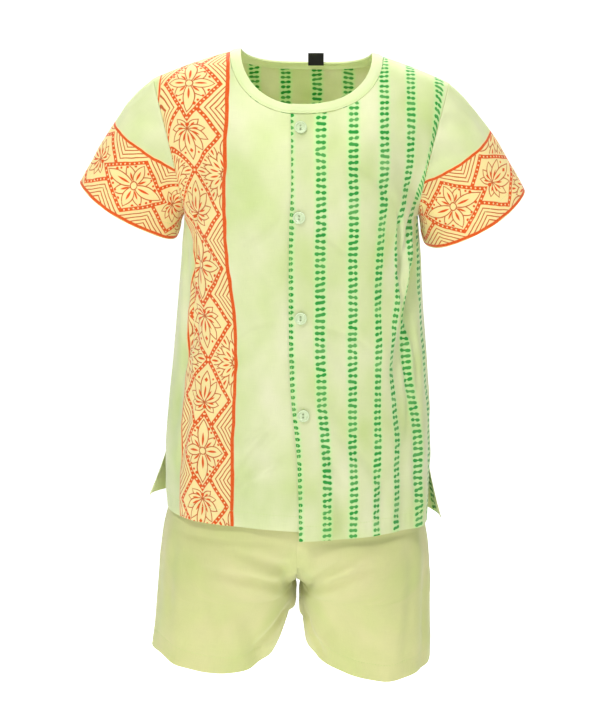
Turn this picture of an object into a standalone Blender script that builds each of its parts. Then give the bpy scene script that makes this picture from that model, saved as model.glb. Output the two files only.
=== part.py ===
"""Child's button-front shirt worn over matching plain shorts, filled out with no wearer.

Lengths in the tables are millimetres and are turned into metres when the cloth is placed.
+X is the wearer's left, -Y is the front, +Z is up.  The origin lies between the two points
where the shoulder seams meet the neck.
"""
import math

import bmesh
import bpy
import numpy as np
from mathutils import Matrix, Vector

MM = 0.001
OBJECT_NAME = "child_shirt_and_shorts_set"

CLOTH = 1.2                 # wall of one layer of cloth
SEAM_GAP = 0.3              # between two cut pieces along a seam
BINDING_WALL = 1.8          # folded neck strip
OVERLAP_LIFT = 1.75         # upper front layer above the lower one
SQUARE = 2.3                # how full the body section is, 2 would be an ellipse

UNDERARM_Z = -150.0
CROWN_Z = 10.0              # height that the shoulder line would reach at the middle
SHOULDER_Z = -26.0
SHOULDER_X = 134.8
UNDERARM_X = 107.5
ARMHOLE_DEPTH = 34.0        # half of the armhole, front to back
SHOULDER_ANGLE = 58.0       # end angle of the rows at the shoulder, degrees

NECK_FRONT = (0.65, 0.70)   # part of the height from underarm to crown: seam, opening
NECK_BACK = (0.79, 0.838)
NECK_X_RIGHT = (65.0, 55.0)  # wearer's right, seam and opening
NECK_X_LEFT = (75.0, 65.0)
NECK_STEPS = 9              # columns of cloth in each quarter of the neck
UNDER_END = 8.0             # degrees past the front middle, lower and upper end of the strip
OVER_END = 8.8

# top of the side vent, length over which the back corner turns out, how far it turns out
VENT_RIGHT = (-378.0, 44.0, 16.5)
VENT_LEFT = (-392.0, 50.0, 12.4)
SHOULDER_TILT = 0.015       # the wearer's left shoulder hangs a little lower
UNDER_LAP_X = 12.0          # edge of the lower front layer, past the middle

# height of section, wearer's right edge, wearer's left edge, front depth, back depth
BODY_ROWS = (
    (-150.0, -107.5, 107.5, 86.0, 84.0),
    (-185.0, -110.4, 111.0, 88.0, 86.0),
    (-232.0, -114.5, 113.2, 90.0, 88.0),
    (-280.0, -118.8, 117.2, 91.5, 89.5),
    (-329.0, -124.0, 120.4, 93.0, 91.0),
    (-377.0, -127.6, 121.2, 95.0, 93.0),
    (-427.0, -127.2, 120.2, 96.0, 95.0),
    (-450.0, -126.6, 119.8, 96.0, 96.0),
)

# height, place across of the upper front edge
LAP_ROWS = (
    (-450.0, -1.6),
    (-400.0, -2.2),
    (-355.0, -3.4),
    (-335.0, -5.8),
    (-315.0, -8.2),
    (-290.0, -10.2),
    (-212.0, -11.4),
    (-150.0, -10.6),
)

# side, from across and height, to across and height, half width, depth; across runs from -1 at
# the wearer's right seam to 1 at the left one, a depth below nothing is a ridge
BODY_FOLDS = (
    ("front", -0.80, -160.0, -0.66, -262.0, 0.070, 4.2),
    ("front", -0.66, -245.0, -0.79, -345.0, 0.060, 3.0),
    ("front", -0.58, -290.0, -0.62, -425.0, 0.075, -1.8),
    ("front", 0.86, -158.0, 0.55, -285.0, 0.060, 4.0),
    ("front", 0.72, -165.0, 0.46, -270.0, 0.055, -2.2),
    ("front", 0.56, -270.0, 0.60, -440.0, 0.060, 3.2),
    ("front", 0.74, -240.0, 0.76, -440.0, 0.060, -2.4),
    ("front", -0.04, -322.0, -0.36, -412.0, 0.045, 1.6),
    ("front", 0.06, -325.0, 0.24, -425.0, 0.050, 1.5),
    ("front", 0.04, -236.0, 0.30, -292.0, 0.045, 1.2),
    ("back", -0.78, -158.0, -0.46, -300.0, 0.070, 3.6),
    ("back", -0.50, -290.0, -0.56, -430.0, 0.070, 2.6),
    ("back", 0.82, -160.0, 0.50, -310.0, 0.065, 3.8),
    ("back", 0.46, -280.0, 0.44, -436.0, 0.070, 2.4),
    ("back", -0.08, -180.0, -0.03, -430.0, 0.100, 2.0),
    ("back", 0.24, -250.0, 0.20, -436.0, 0.070, -1.8),
)

# shorts: height, wearer's right edge, wearer's left edge, front depth, back depth
SHORTS_ROWS = (
    (-341.0, -95.0, 90.0, 66.0, 67.0),
    (-360.0, -106.0, 101.0, 76.0, 78.0),
    (-385.0, -115.5, 109.5, 83.0, 84.5),
    (-410.0, -121.0, 113.2, 87.0, 87.5),
    (-430.0, -124.6, 115.4, 88.5, 88.5),
    (-446.0, -129.4, 116.8, 88.5, 89.0),
    (-466.0, -132.2, 120.6, 86.0, 90.5),
    (-505.0, -135.6, 122.4, 79.0, 87.0),
    (-545.0, -139.0, 122.8, 70.0, 77.0),
    (-562.0, -140.8, 123.0, 66.0, 73.0),
    (-576.0, -143.8, 123.2, 63.0, 70.0),
    (-592.0, -145.2, 123.4, 60.0, 67.0),
)
CROTCH_Z = -505.0
RISE_CURVE = 62.0           # height over which the rise turns under
MIDDLE_X = -4.0

# place from the inner seam to the side seam, hem at the front, hem at the back
RIGHT_HEM = (
    (0.00, -536.0, -536.0),
    (0.06, -551.0, -538.0),
    (0.12, -566.0, -541.0),
    (0.21, -571.5, -547.0),
    (0.30, -576.5, -557.0),
    (0.45, -578.0, -570.0),
    (0.68, -571.0, -570.0),
    (0.84, -563.5, -568.0),
    (1.00, -566.0, -566.0),
)
LEFT_HEM = (
    (0.00, -541.0, -541.0),
    (0.08, -561.0, -543.0),
    (0.14, -565.5, -546.0),
    (0.24, -569.7, -553.0),
    (0.34, -574.7, -563.0),
    (0.46, -582.0, -574.0),
    (0.58, -586.2, -580.0),
    (0.74, -583.0, -580.0),
    (1.00, -578.5, -578.5),
)
# wearer's side, inner edge 70 mm below the crotch, how it gets there, and how far the back of
# the inner leg leans in front of the other leg
LEG_RIGHT = {"side": -1, "inner": -24.0, "bend": 1.0, "lean": 30.0, "hem": RIGHT_HEM}
LEG_LEFT = {"side": 1, "inner": 4.0, "bend": 0.5, "lean": -17.0, "hem": LEFT_HEM}
LEG_DROP = 70.0
LEAN_CLEAR = 1.3            # left between the two legs
LEAN_REACH = 12.4           # how far both backs come together at their full lean

# leg side, panel, place at the top and at the hem, top height, half width, depth
SHORTS_FOLDS = (
    (-1, "front", 0.30, 0.22, -440.0, 0.085, 3.0),
    (-1, "front", 0.62, 0.70, -455.0, 0.070, -2.0),
    (1, "front", 0.26, 0.16, -450.0, 0.080, 2.6),
    (1, "front", 0.80, 0.84, -440.0, 0.060, 2.6),
    (1, "front", 0.55, 0.60, -470.0, 0.080, -1.6),
    (-1, "back", 0.36, 0.30, -450.0, 0.085, 3.2),
    (-1, "back", 0.72, 0.76, -465.0, 0.070, 2.0),
    (1, "back", 0.34, 0.26, -455.0, 0.085, 3.0),
    (1, "back", 0.68, 0.72, -470.0, 0.070, -2.2),
)

WAIST_TOP_Z = -318.0
WAIST_LOW_Z = -340.7
WAIST_HALF_X = 92.5
WAIST_HALF_Y = 66.0
WAIST_MID_X = -2.5
GATHERS = 19
GATHER_DEPTH = 1.6

# sleeve: hem outer point, hem inner point (across, height), half depth, how far the front hangs
SLEEVE_RIGHT = {"side": -1, "outer": (-204.0, -120.5), "inner": (-114.6, -171.6),
                "depth": 37.0, "front_drop": 5.0, "round": 0.28}
SLEEVE_LEFT = {"side": 1, "outer": (205.2, -129.0), "inner": (114.2, -178.0),
               "depth": 39.0, "front_drop": 8.5, "round": 0.20}
SLEEVE_START = 0.45         # gap to the body along the armhole

# centre across, centre height
BUTTONS = ((-0.9, -56.2), (-1.8, -135.4), (0.0, -229.2), (2.7, -318.3))
BUTTON_RADIUS = 5.75
BUTTON_THICK = 2.2
BUTTON_HOLE = 0.85
BUTTON_HOLE_PITCH = 3.2

LABEL_X = 13.8
LABEL_WIDTH = 14.4
LABEL_TALL = 13.5
LABEL_WALL = 1.0
LABEL_TOP_Z = -6.6
LABEL_LEAN = 20.0

COLOURS = {
    "shirt_cloth": ((0.756, 0.871, 0.456, 1.0), 0.85),
    "binding_cloth": ((0.775, 0.880, 0.500, 1.0), 0.85),
    "shorts_cloth": ((0.660, 0.780, 0.330, 1.0), 0.88),
    "button_shell": ((0.800, 0.890, 0.680, 1.0), 0.35),
    "label_cloth": ((0.012, 0.012, 0.012, 1.0), 0.80),
}


def clear_scene():
    for item in list(bpy.data.objects):
        bpy.data.objects.remove(item, do_unlink=True)
    for item in list(bpy.data.meshes):
        bpy.data.meshes.remove(item)


def smooth(value):
    value = min(max(value, 0.0), 1.0)
    return value * value * (3.0 - 2.0 * value)


def column(rows, height, index):
    """One column of a table whose first column is the height, read at any height."""
    rows = sorted(rows)
    heights = [row[0] for row in rows]
    values = [row[index] for row in rows]
    return float(np.interp(height, heights, values))


def fullness(sine):
    """Depth of the body section where the place across is sine of the half width."""
    return max(1.0 - abs(sine) ** SQUARE, 0.0) ** (1.0 / SQUARE)


def body_section(height):
    right = column(BODY_ROWS, height, 1)
    left = column(BODY_ROWS, height, 2)
    return (left + right) / 2.0, (left - right) / 2.0


def across_to_place(across, height):
    """Place -1..1 between the side seams for a distance across at a height below the underarm."""
    middle, half = body_section(height)
    return math.asin((across - middle) / half) / (math.pi / 2.0)


def neck_place(across):
    sine = across / SHOULDER_X * math.sin(math.radians(SHOULDER_ANGLE))
    return math.asin(sine) / math.radians(SHOULDER_ANGLE)


def neck_reach(place, panel, edge):
    """How far up, 0 at the underarm and 1 at the shoulder seam, a column of cloth runs."""
    deepest = (NECK_FRONT if panel == "front" else NECK_BACK)[edge]
    limit = neck_place((NECK_X_LEFT if place > 0.0 else NECK_X_RIGHT)[edge])
    ratio = abs(place) / limit
    if ratio >= 1.0:
        return 1.0
    return 1.0 - (1.0 - deepest) * math.sqrt(1.0 - ratio * ratio)


def upper_point(place, reach, panel):
    """Shirt between the underarm (reach 0) and the shoulder seam (reach 1)."""
    sign = -1.0 if panel == "front" else 1.0
    depth = column(BODY_ROWS, UNDERARM_Z, 3 if panel == "front" else 4)
    end = math.radians(90.0 - (90.0 - SHOULDER_ANGLE) * smooth(reach / 0.35))
    angle = end * place
    half = UNDERARM_X + (SHOULDER_X - UNDERARM_X) * reach ** 1.35
    x = half * math.sin(angle) / math.sin(end)
    edge_y = ARMHOLE_DEPTH * 2.0 * math.sqrt(max(reach * (1.0 - reach), 0.0))
    mid_y = depth * math.sqrt(max(1.0 - reach * reach, 0.0))
    low = fullness(math.sin(end))
    share = (fullness(math.sin(angle)) - low) / (1.0 - low)
    pull = abs(place) ** (2.2 + 7.0 * (1.0 - smooth(reach / 0.7)))
    y = mid_y * share + edge_y * pull
    mid_z = UNDERARM_Z + (CROWN_Z - UNDERARM_Z) * reach
    edge_z = UNDERARM_Z + (SHOULDER_Z - UNDERARM_Z) * reach
    z = mid_z + (edge_z - mid_z) * (abs(x) / half) ** 1.7 - SHOULDER_TILT * x * reach
    return x, sign * y, z


def lower_point(place, height, panel):
    middle, half = body_section(height)
    depth = column(BODY_ROWS, height, 3 if panel == "front" else 4)
    sine = math.sin(place * math.pi / 2.0)
    sign = -1.0 if panel == "front" else 1.0
    return middle + half * sine, sign * depth * fullness(sine), height


def hem_height(place, cut):
    if cut == "back":
        return -431.5 - 10.9 * place
    if cut == "front_right":
        return -428.2 + 2.4 * math.sin(math.pi * min(-place, 1.0)) + 1.1 * place * place
    return -437.2 - 5.6 * place ** 4 + 0.9 * math.sin(math.pi * place)


def flare(place, height, cut):
    """Side edge of a panel below the vent, moved out from the body."""
    top, length, out = VENT_RIGHT if place < 0.0 else VENT_LEFT
    down = max(top - height, 0.0) / length
    near = math.exp(-((1.0 - abs(place)) / 0.13) ** 2)
    if cut == "back":
        return out * down ** 1.15 * near
    return -0.9 * smooth(down) * near


def fold_shift(place, height, panel):
    total = 0.0
    for side, top_at, top_z, low_at, low_z, width, depth in BODY_FOLDS:
        if side != panel:
            continue
        along = (top_z - height) / (top_z - low_z)
        if along < -0.25 or along > 1.25:
            continue
        ends = smooth((along + 0.25) / 0.40) * smooth((1.25 - along) / 0.40)
        centre = top_at + (low_at - top_at) * along
        total -= depth * ends * math.exp(-((place - centre) / width) ** 2)
    total *= smooth((abs(place) - 0.08) / 0.14)
    hem = smooth((-330.0 - height) / 110.0)
    waves = math.sin(9.0 * place + 0.6) + 0.6 * math.sin(15.0 * place + 2.1)
    total += 1.0 * hem * waves
    return total * (1.0 - abs(place) ** 10)


def row_shares(count):
    return [0.5 - 0.5 * math.cos(math.pi * k / count) for k in range(count + 1)]


def body_points(cut, places, low_rows, high_rows):
    """Grid of points of one shirt piece: a column for each place, rows from hem to top."""
    panel = "back" if cut == "back" else "front"
    seam_y = 0.5 * SEAM_GAP * (1.0 if panel == "back" else -1.0)
    top_lap = across_to_place(column(LAP_ROWS, UNDERARM_Z, 1), UNDERARM_Z)
    points = np.zeros((len(places), low_rows + high_rows + 1, 3))
    shifts = np.zeros(points.shape[:2])
    for i, at in enumerate(places):
        for j in range(low_rows):
            share = (j / low_rows) ** 1.35
            place = at
            for _ in range(2):
                height = hem_height(place, cut) * (1.0 - share) + UNDERARM_Z * share
                if cut == "front_left":
                    lap = across_to_place(column(LAP_ROWS, height, 1), height)
                    place = lap + (1.0 - lap) * (at - top_lap) / (1.0 - top_lap)
            points[i, j] = lower_point(place, height, panel)
            shifts[i, j] = fold_shift(place, height, panel) + flare(place, height, cut)
            shifts[i, j] += lap_lift(points[i, j, 0], cut)
        top = neck_reach(at, panel, 0)
        for j, share in enumerate(row_shares(high_rows)):
            reach = share * top
            points[i, low_rows + j] = upper_point(at, reach, panel)
            height = points[i, low_rows + j, 2]
            fade = smooth(1.0 - reach / 0.30)
            shifts[i, low_rows + j] = fold_shift(at, height, panel) * fade
            shifts[i, low_rows + j] += lap_lift(points[i, low_rows + j, 0], cut)
    points[:, :, 1] += seam_y
    return points, shifts


def lap_lift(across, cut):
    if cut != "front_left":
        return 0.0
    return OVERLAP_LIFT * smooth((UNDER_LAP_X + 24.0 - across) / 22.0)


def neck_places(limit, count):
    return [limit * math.sin(math.pi / 2.0 * k / count) for k in range(count + 1)]


def side_places(limit, count):
    return [limit + (1.0 - limit) * k / count for k in range(1, count + 1)]


def binding_points(cross_rows):
    """Neck strip from the lower end at the front, round the back, to the upper end.

    Its columns stand where the columns of the panels meet it, so the two edges run alike.
    """
    quarter = 90.0 / NECK_STEPS
    turns = [UNDER_END] + [-quarter * k for k in range(4 * NECK_STEPS + 1)] + [-360.0 - OVER_END]
    count = len(turns) - 1
    points = np.zeros((count + 1, cross_rows + 1, 3))
    shifts = np.zeros(points.shape[:2])
    for i in range(count + 1):
        turn = math.radians(turns[i])
        if i > 0.5 * count:
            # same spot on the ring, counted the other way from the front middle
            turn = turn + 2.0 * math.pi
        panel = "front" if math.cos(turn) > 0.0 else "back"
        for j in range(cross_rows + 1):
            across = j / cross_rows
            edge = 0.10 + 0.90 * across
            sine = math.sin(turn)
            side = NECK_X_LEFT if sine > 0.0 else NECK_X_RIGHT
            seam = neck_place(side[0])
            opening = neck_place(side[1])
            deep = NECK_FRONT if panel == "front" else NECK_BACK
            place = (seam + (opening - seam) * edge) * sine
            start = deep[0] + (deep[1] - deep[0]) * edge
            reach = 1.0 - (1.0 - start) * abs(math.cos(turn))
            points[i, j] = upper_point(place, reach, panel)
            rise = 0.45 + 0.5 * math.sin(math.pi * across)
            if i > 0.5 * count:
                rise += (BINDING_WALL + 0.3) * smooth((33.0 - math.degrees(turn)) / 18.0)
            shifts[i, j] = rise
    return points, shifts


def sleeve_points(spec, around, along):
    """Sleeve from the armhole to its hem, the underarm seam at both ends of the grid."""
    side = spec["side"]
    outer = np.array([spec["outer"][0], 0.0, spec["outer"][1]])
    inner = np.array([spec["inner"][0], 0.0, spec["inner"][1]])
    centre = (outer + inner) / 2.0
    long_axis = (outer - inner) / 2.0
    unit = long_axis / np.linalg.norm(long_axis)
    down = np.array([side * abs(unit[2]), 0.0, -abs(unit[0])])
    points = np.zeros((around + 1, along + 1, 3))
    shifts = np.zeros(points.shape[:2])
    trim = 0.5 * SEAM_GAP / ARMHOLE_DEPTH
    for i in range(around + 1):
        turn = -math.pi + trim + (2.0 * math.pi - 2.0 * trim) * i / around
        reach = 0.5 + 0.5 * math.cos(turn)
        half = UNDERARM_X + (SHOULDER_X - UNDERARM_X) * reach ** 1.35
        start = np.array([side * half, ARMHOLE_DEPTH * math.sin(turn),
                          UNDERARM_Z + (SHOULDER_Z - UNDERARM_Z) * reach
                          - SHOULDER_TILT * side * half * reach])
        slope = math.radians(34.0 + 22.0 * (1.0 - reach))
        leave = np.array([side * math.cos(slope), 0.0, -math.sin(slope)])
        start = start + leave * SLEEVE_START
        front = max(-math.sin(turn), 0.0)
        end = centre + long_axis * math.cos(turn) - down * -spec["front_drop"] * front
        end[1] = spec["depth"] * math.sin(turn)
        reach_length = np.linalg.norm(end - start)
        first = start + leave * reach_length * spec["round"]
        second = end - down * reach_length * 0.38
        for j in range(along + 1):
            s = j / along
            r = 1.0 - s
            points[i, j] = (start * r ** 3 + first * 3.0 * r * r * s
                            + second * 3.0 * r * s * s + end * s ** 3)
            wave = math.sin(3.0 * turn + 0.8 * side) + 0.7 * math.sin(5.0 * turn + 1.7)
            shifts[i, j] = 1.3 * wave * smooth((s - 0.15) / 0.6) * (0.5 + 0.5 * math.cos(turn)) ** 0.3
    return points, shifts


def shorts_section(height, side):
    out = column(SHORTS_ROWS, height, 1 if side < 0 else 2)
    return out, column(SHORTS_ROWS, height, 3), column(SHORTS_ROWS, height, 4)


def lean_share(down):
    """Part of the full lean at which the backs of the two legs still clear each other."""
    apart = sum(abs(leg["inner"] - MIDDLE_X) * down ** leg["bend"] for leg in (LEG_RIGHT, LEG_LEFT))
    return min((max(apart - LEAN_CLEAR, 0.0) / LEAN_REACH) ** 0.565, 1.0)


def shorts_point(spec, panel, place, height):
    """Shorts at a place 0 (inner seam) to 1 (side seam) of one leg."""
    side = spec["side"]
    out, front, back = shorts_section(height, side)
    inner = MIDDLE_X + side * 0.5 * SEAM_GAP
    lean = 0.0
    if height < CROTCH_Z:
        down = (CROTCH_Z - height) / LEG_DROP
        inner += (spec["inner"] - MIDDLE_X) * down ** spec["bend"]
        if panel == "back":
            lean = spec["lean"] * lean_share(down)
        middle = (out + inner) / 2.0
        begin = 0.0
        half = abs(out - middle)
    else:
        up = min((height - CROTCH_Z) / RISE_CURVE, 1.0)
        cut_off = fullness(math.sqrt(1.0 - (1.0 - up) ** 2))
        middle = inner + (out - inner) * cut_off / (1.0 + cut_off)
        half = abs(out - middle)
        begin = math.acos(min(cut_off, 1.0))
    angle = begin + (math.pi - begin) * place
    depth = front if panel == "front" else back
    sign = -1.0 if panel == "front" else 1.0
    y = sign * depth * fullness(math.cos(angle))
    x = middle - side * half * math.cos(angle)
    x += lean * (y / depth) * (0.5 + 0.5 * math.cos(angle))
    return x, y, height


def shorts_points(spec, panel, across_rows, low_rows, high_rows):
    seam_y = 0.5 * SEAM_GAP * (1.0 if panel == "back" else -1.0)
    points = np.zeros((across_rows + 1, low_rows + high_rows + 1, 3))
    shifts = np.zeros(points.shape[:2])
    hem_column = 1 if panel == "front" else 2
    for i in range(across_rows + 1):
        place = i / across_rows
        hem = column(spec["hem"], place, hem_column)
        for j in range(low_rows + high_rows + 1):
            if j < low_rows:
                height = hem + (CROTCH_Z - hem) * j / low_rows
            else:
                up = (j - low_rows) / high_rows
                height = CROTCH_Z + (-341.0 - CROTCH_Z) * up ** 1.35
            points[i, j] = shorts_point(spec, panel, place, height)
            total = 0.0
            for side, cut, top_at, low_at, top_z, width, depth in SHORTS_FOLDS:
                if side == spec["side"] and cut == panel:
                    along = (top_z - height) / (top_z - hem)
                    centre = top_at + (low_at - top_at) * along
                    total -= depth * smooth(along * 1.4) * math.exp(-((place - centre) / width) ** 2)
            edge = min(place, 1.0 - place) / 0.12
            shifts[i, j] = total * smooth(edge)
    points[:, :, 1] += seam_y
    return points, shifts


def waist_points(around, rows):
    points = np.zeros((around + 1, rows + 1, 3))
    shifts = np.zeros(points.shape[:2])
    trim = 0.5 * SEAM_GAP / WAIST_HALF_X
    for i in range(around + 1):
        turn = trim + (2.0 * math.pi - 2.0 * trim) * i / around
        for j in range(rows + 1):
            share = j / rows
            height = WAIST_LOW_Z + (WAIST_TOP_Z - WAIST_LOW_Z) * share
            points[i, j] = (WAIST_MID_X + WAIST_HALF_X * math.sin(turn),
                            WAIST_HALF_Y * math.cos(turn), height)
            ripple = math.sin(GATHERS * turn) * (0.55 + 0.45 * math.sin(2.6 * turn + 0.7))
            shifts[i, j] = GATHER_DEPTH * ripple * (0.35 + 0.65 * math.sin(math.pi * share))
    return points, shifts


def grid_normals(points, flat_edges, outward):
    across = np.gradient(points, axis=0)
    along = np.gradient(points, axis=1)
    normals = np.cross(across, along)
    normals /= np.linalg.norm(normals, axis=2, keepdims=True) + 1e-12
    middle = points.reshape(-1, 3).mean(axis=0)
    if outward is not None:
        middle = np.array(outward)
    facing = np.sum(normals * (points - middle), axis=2).mean()
    if facing < 0.0:
        normals = -normals
    for edge in flat_edges:
        normals[edge + (1,)] = 0.0
    normals /= np.linalg.norm(normals, axis=2, keepdims=True) + 1e-12
    return normals


def cloth_piece(name, grid, wall, material, outward, flat_edges=()):
    """A flat slab of cells bent to the grid of outer points, its wall going inwards."""
    points, shifts = grid
    base = grid_normals(points, flat_edges, outward)
    outer = points + base * shifts[:, :, None]
    normals = grid_normals(outer, flat_edges, outward)
    layers = (outer, outer - normals * wall)
    columns, rows = points.shape[0] - 1, points.shape[1] - 1
    mesh = bpy.data.meshes.new(name)
    shape = bmesh.new()
    bmesh.ops.create_grid(shape, x_segments=columns, y_segments=rows, size=0.5)
    copy = bmesh.ops.extrude_face_region(shape, geom=shape.faces[:], use_keep_orig=True)
    moved = {item for item in copy["geom"] if isinstance(item, bmesh.types.BMVert)}
    for vert in shape.verts:
        i = round((vert.co.x + 0.5) * columns)
        j = round((vert.co.y + 0.5) * rows)
        vert.co = Vector(layers[1 if vert in moved else 0][i, j] * MM)
    bmesh.ops.recalc_face_normals(shape, faces=shape.faces[:])
    shape.to_mesh(mesh)
    shape.free()
    piece = bpy.data.objects.new(name, mesh)
    part_collection.objects.link(piece)
    piece.data.materials.append(material)
    return piece, outer, normals


def make_material(name):
    colour, roughness = COLOURS[name]
    material = bpy.data.materials.new(name)
    material.use_nodes = True
    shader = material.node_tree.nodes["Principled BSDF"]
    shader.inputs["Base Color"].default_value = colour
    shader.inputs["Roughness"].default_value = roughness
    shader.inputs["Metallic"].default_value = 0.0
    material.diffuse_color = colour
    return material


def nearest_on(outer, normals, across, height):
    """Point of a cloth grid nearest to a place across and a height, and the way out from it."""
    flat = outer.reshape(-1, 3)
    ways = normals.reshape(-1, 3)
    gap = (flat[:, 0] - across) ** 2 + (flat[:, 2] - height) ** 2
    order = np.argsort(gap)[:4]
    weight = 1.0 / (gap[order] + 0.5)
    weight /= weight.sum()
    depth = float((flat[order, 1] * weight).sum())
    slope = (ways[order] * weight[:, None]).sum(axis=0)
    slope /= np.linalg.norm(slope)
    centre = flat[order].T @ weight
    depth -= float(slope[0] * (across - centre[0]) + slope[2] * (height - centre[2])) / slope[1]
    return np.array([across, depth, height]), slope


def add_button(name, spot, way, material):
    """Round button with a raised rim and two holes, one above the other."""
    profile = ((0.0, 0.0), (4.6, 0.0), (5.5, 0.35), (5.75, 1.0), (5.55, 1.75), (4.95, 2.2),
               (4.1, 1.95), (3.5, 1.35), (0.0, 1.2))
    wide = BUTTON_RADIUS / 5.75 * MM
    tall = BUTTON_THICK / 2.2 * MM
    mesh = bpy.data.meshes.new(name)
    mesh.from_pydata([(radius * wide, 0.0, height * tall) for radius, height in profile],
                     [(k, k + 1) for k in range(len(profile) - 1)], [])
    piece = bpy.data.objects.new(name, mesh)
    part_collection.objects.link(piece)
    piece.data.materials.append(material)
    turned = piece.modifiers.new("turned", "SCREW")
    turned.steps = 26
    turned.render_steps = 26
    turned.use_merge_vertices = True
    turned.merge_threshold = 0.00001
    turned.use_normal_calculate = True
    out = Vector(way).normalized()
    across = Vector((0.0, 0.0, 1.0)).cross(out).normalized()
    up = out.cross(across).normalized()
    frame = Matrix((across, up, out)).transposed().to_4x4()
    frame.translation = Vector((spot + way * 0.35) * MM)
    for index, rise in enumerate((-0.5, 0.5)):
        bpy.ops.mesh.primitive_cylinder_add(vertices=12, radius=BUTTON_HOLE * MM, depth=0.01,
                                            location=(0.0, rise * BUTTON_HOLE_PITCH * MM, 0.0))
        cutter = bpy.context.object
        cutter.name = name + "_hole_" + str(index + 1)
        for collection in cutter.users_collection:
            collection.objects.unlink(cutter)
        cutter_collection.objects.link(cutter)
        cutter.hide_render = True
        cutter.display_type = "WIRE"
        hole = piece.modifiers.new("hole_" + str(index + 1), "BOOLEAN")
        hole.operation = "DIFFERENCE"
        hole.solver = "EXACT"
        hole.object = cutter
    bpy.context.view_layer.objects.active = piece
    for step in list(piece.modifiers):
        bpy.ops.object.modifier_apply(modifier=step.name)
    piece.data.transform(frame)
    piece.data.update()
    return piece


def label_seat(outer, normals):
    """Depth at which the leaning label just clears the inside of the strip behind it."""
    inner = (outer - normals * BINDING_WALL).reshape(-1, 3)
    near = (np.abs(inner[:, 0] - LABEL_X) < LABEL_WIDTH / 2.0 + 6.0) & (inner[:, 1] > 0.0)
    lean = math.radians(LABEL_LEAN)
    centre_z = LABEL_TOP_Z - LABEL_TALL / 2.0 * math.cos(lean)
    reach = inner[near, 1] + (inner[near, 2] - centre_z) * math.tan(lean)
    return float(reach.min()) - (LABEL_WALL / 2.0 + 0.35) / math.cos(lean), centre_z


def add_label(name, seat, material):
    """Plain folded label standing up inside the back of the neck."""
    bpy.ops.mesh.primitive_cube_add(size=1.0)
    piece = bpy.context.object
    piece.name = name
    piece.data.name = name
    for collection in piece.users_collection:
        collection.objects.unlink(piece)
    part_collection.objects.link(piece)
    piece.scale = (LABEL_WIDTH * MM, LABEL_WALL * MM, LABEL_TALL * MM)
    piece.rotation_euler = (math.radians(LABEL_LEAN), 0.0, 0.0)
    piece.location = (LABEL_X * MM, seat[0] * MM, seat[1] * MM)
    bpy.context.view_layer.update()
    piece.data.transform(piece.matrix_world)
    piece.matrix_world = Matrix.Identity(4)
    piece.data.materials.append(material)
    return piece


clear_scene()
part_collection = bpy.data.collections.new(OBJECT_NAME)
bpy.context.scene.collection.children.link(part_collection)
cutter_collection = bpy.data.collections.new("cutters")
bpy.context.scene.collection.children.link(cutter_collection)
materials = {name: make_material(name) for name in COLOURS}

BODY_MIDDLE = (0.0, 0.0, -230.0)
lap_place = across_to_place(column(LAP_ROWS, UNDERARM_Z, 1), UNDERARM_Z)
under_place = across_to_place(UNDER_LAP_X, UNDERARM_Z)
neck_left = neck_place(NECK_X_LEFT[0])
neck_right = neck_place(NECK_X_RIGHT[0])

left_places = [lap_place, lap_place * 0.5] + neck_places(neck_left, NECK_STEPS)
left_places += side_places(neck_left, 9)
right_places = [-p for p in reversed(neck_places(neck_right, NECK_STEPS) + side_places(neck_right, 10))]
right_places += [under_place * 0.5, under_place]
back_places = [-p for p in reversed(neck_places(neck_right, NECK_STEPS)[1:] + side_places(neck_right, 9))]
back_places += neck_places(neck_left, NECK_STEPS) + side_places(neck_left, 8)

ALL_ROWS = slice(None)
left_piece = cloth_piece(
    "shirt_front_left", body_points("front_left", left_places, 11, 12), CLOTH,
    materials["shirt_cloth"], BODY_MIDDLE,
    ((slice(-1, None), slice(0, 12)), (slice(2 + NECK_STEPS, None), slice(-1, None))))
cloth_piece(
    "shirt_front_right", body_points("front_right", right_places, 11, 12), CLOTH,
    materials["shirt_cloth"], BODY_MIDDLE,
    ((slice(0, 1), slice(0, 12)), (slice(0, 11), slice(-1, None))))
cloth_piece(
    "shirt_back", body_points("back", back_places, 11, 12), CLOTH,
    materials["shirt_cloth"], BODY_MIDDLE,
    ((slice(0, 1), slice(0, 12)), (slice(-1, None), slice(0, 12)),
     (slice(0, 10), slice(-1, None)), (slice(-9, None), slice(-1, None))))
for spec, name in ((SLEEVE_RIGHT, "sleeve_right"), (SLEEVE_LEFT, "sleeve_left")):
    middle_of_sleeve = (spec["side"] * 140.0, 0.0, -110.0)
    cloth_piece(name, sleeve_points(spec, 26, 7), CLOTH, materials["shirt_cloth"],
                middle_of_sleeve)
binding = cloth_piece("neck_binding", binding_points(2), BINDING_WALL,
                      materials["binding_cloth"], BODY_MIDDLE)

for spec, word in ((LEG_RIGHT, "right"), (LEG_LEFT, "left")):
    for panel in ("front", "back"):
        cloth_piece("shorts_" + panel + "_" + word,
                    shorts_points(spec, panel, 13, 5, 9), CLOTH, materials["shorts_cloth"],
                    (spec["side"] * 60.0, 0.0, -500.0),
                    ((slice(-1, None), ALL_ROWS),))
cloth_piece("waistband", waist_points(76, 2), 2.0, materials["shorts_cloth"],
            (0.0, 0.0, -330.0))

for number, (across, height) in enumerate(BUTTONS):
    spot, way = nearest_on(left_piece[1], left_piece[2], across, height)
    add_button("button_" + str(number + 1), spot, way, materials["button_shell"])

add_label("neck_label", label_seat(binding[1], binding[2]), materials["label_cloth"])
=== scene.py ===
"""Looks of the child's shirt and shorts set: thin cloth, its creases, print and sewing.

Lengths are millimetres until a mesh is made.  +X is the wearer's left, -Y the front, +Z up.
"""

import math

import bpy
import numpy as np
from mathutils import Matrix, Vector


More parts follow.
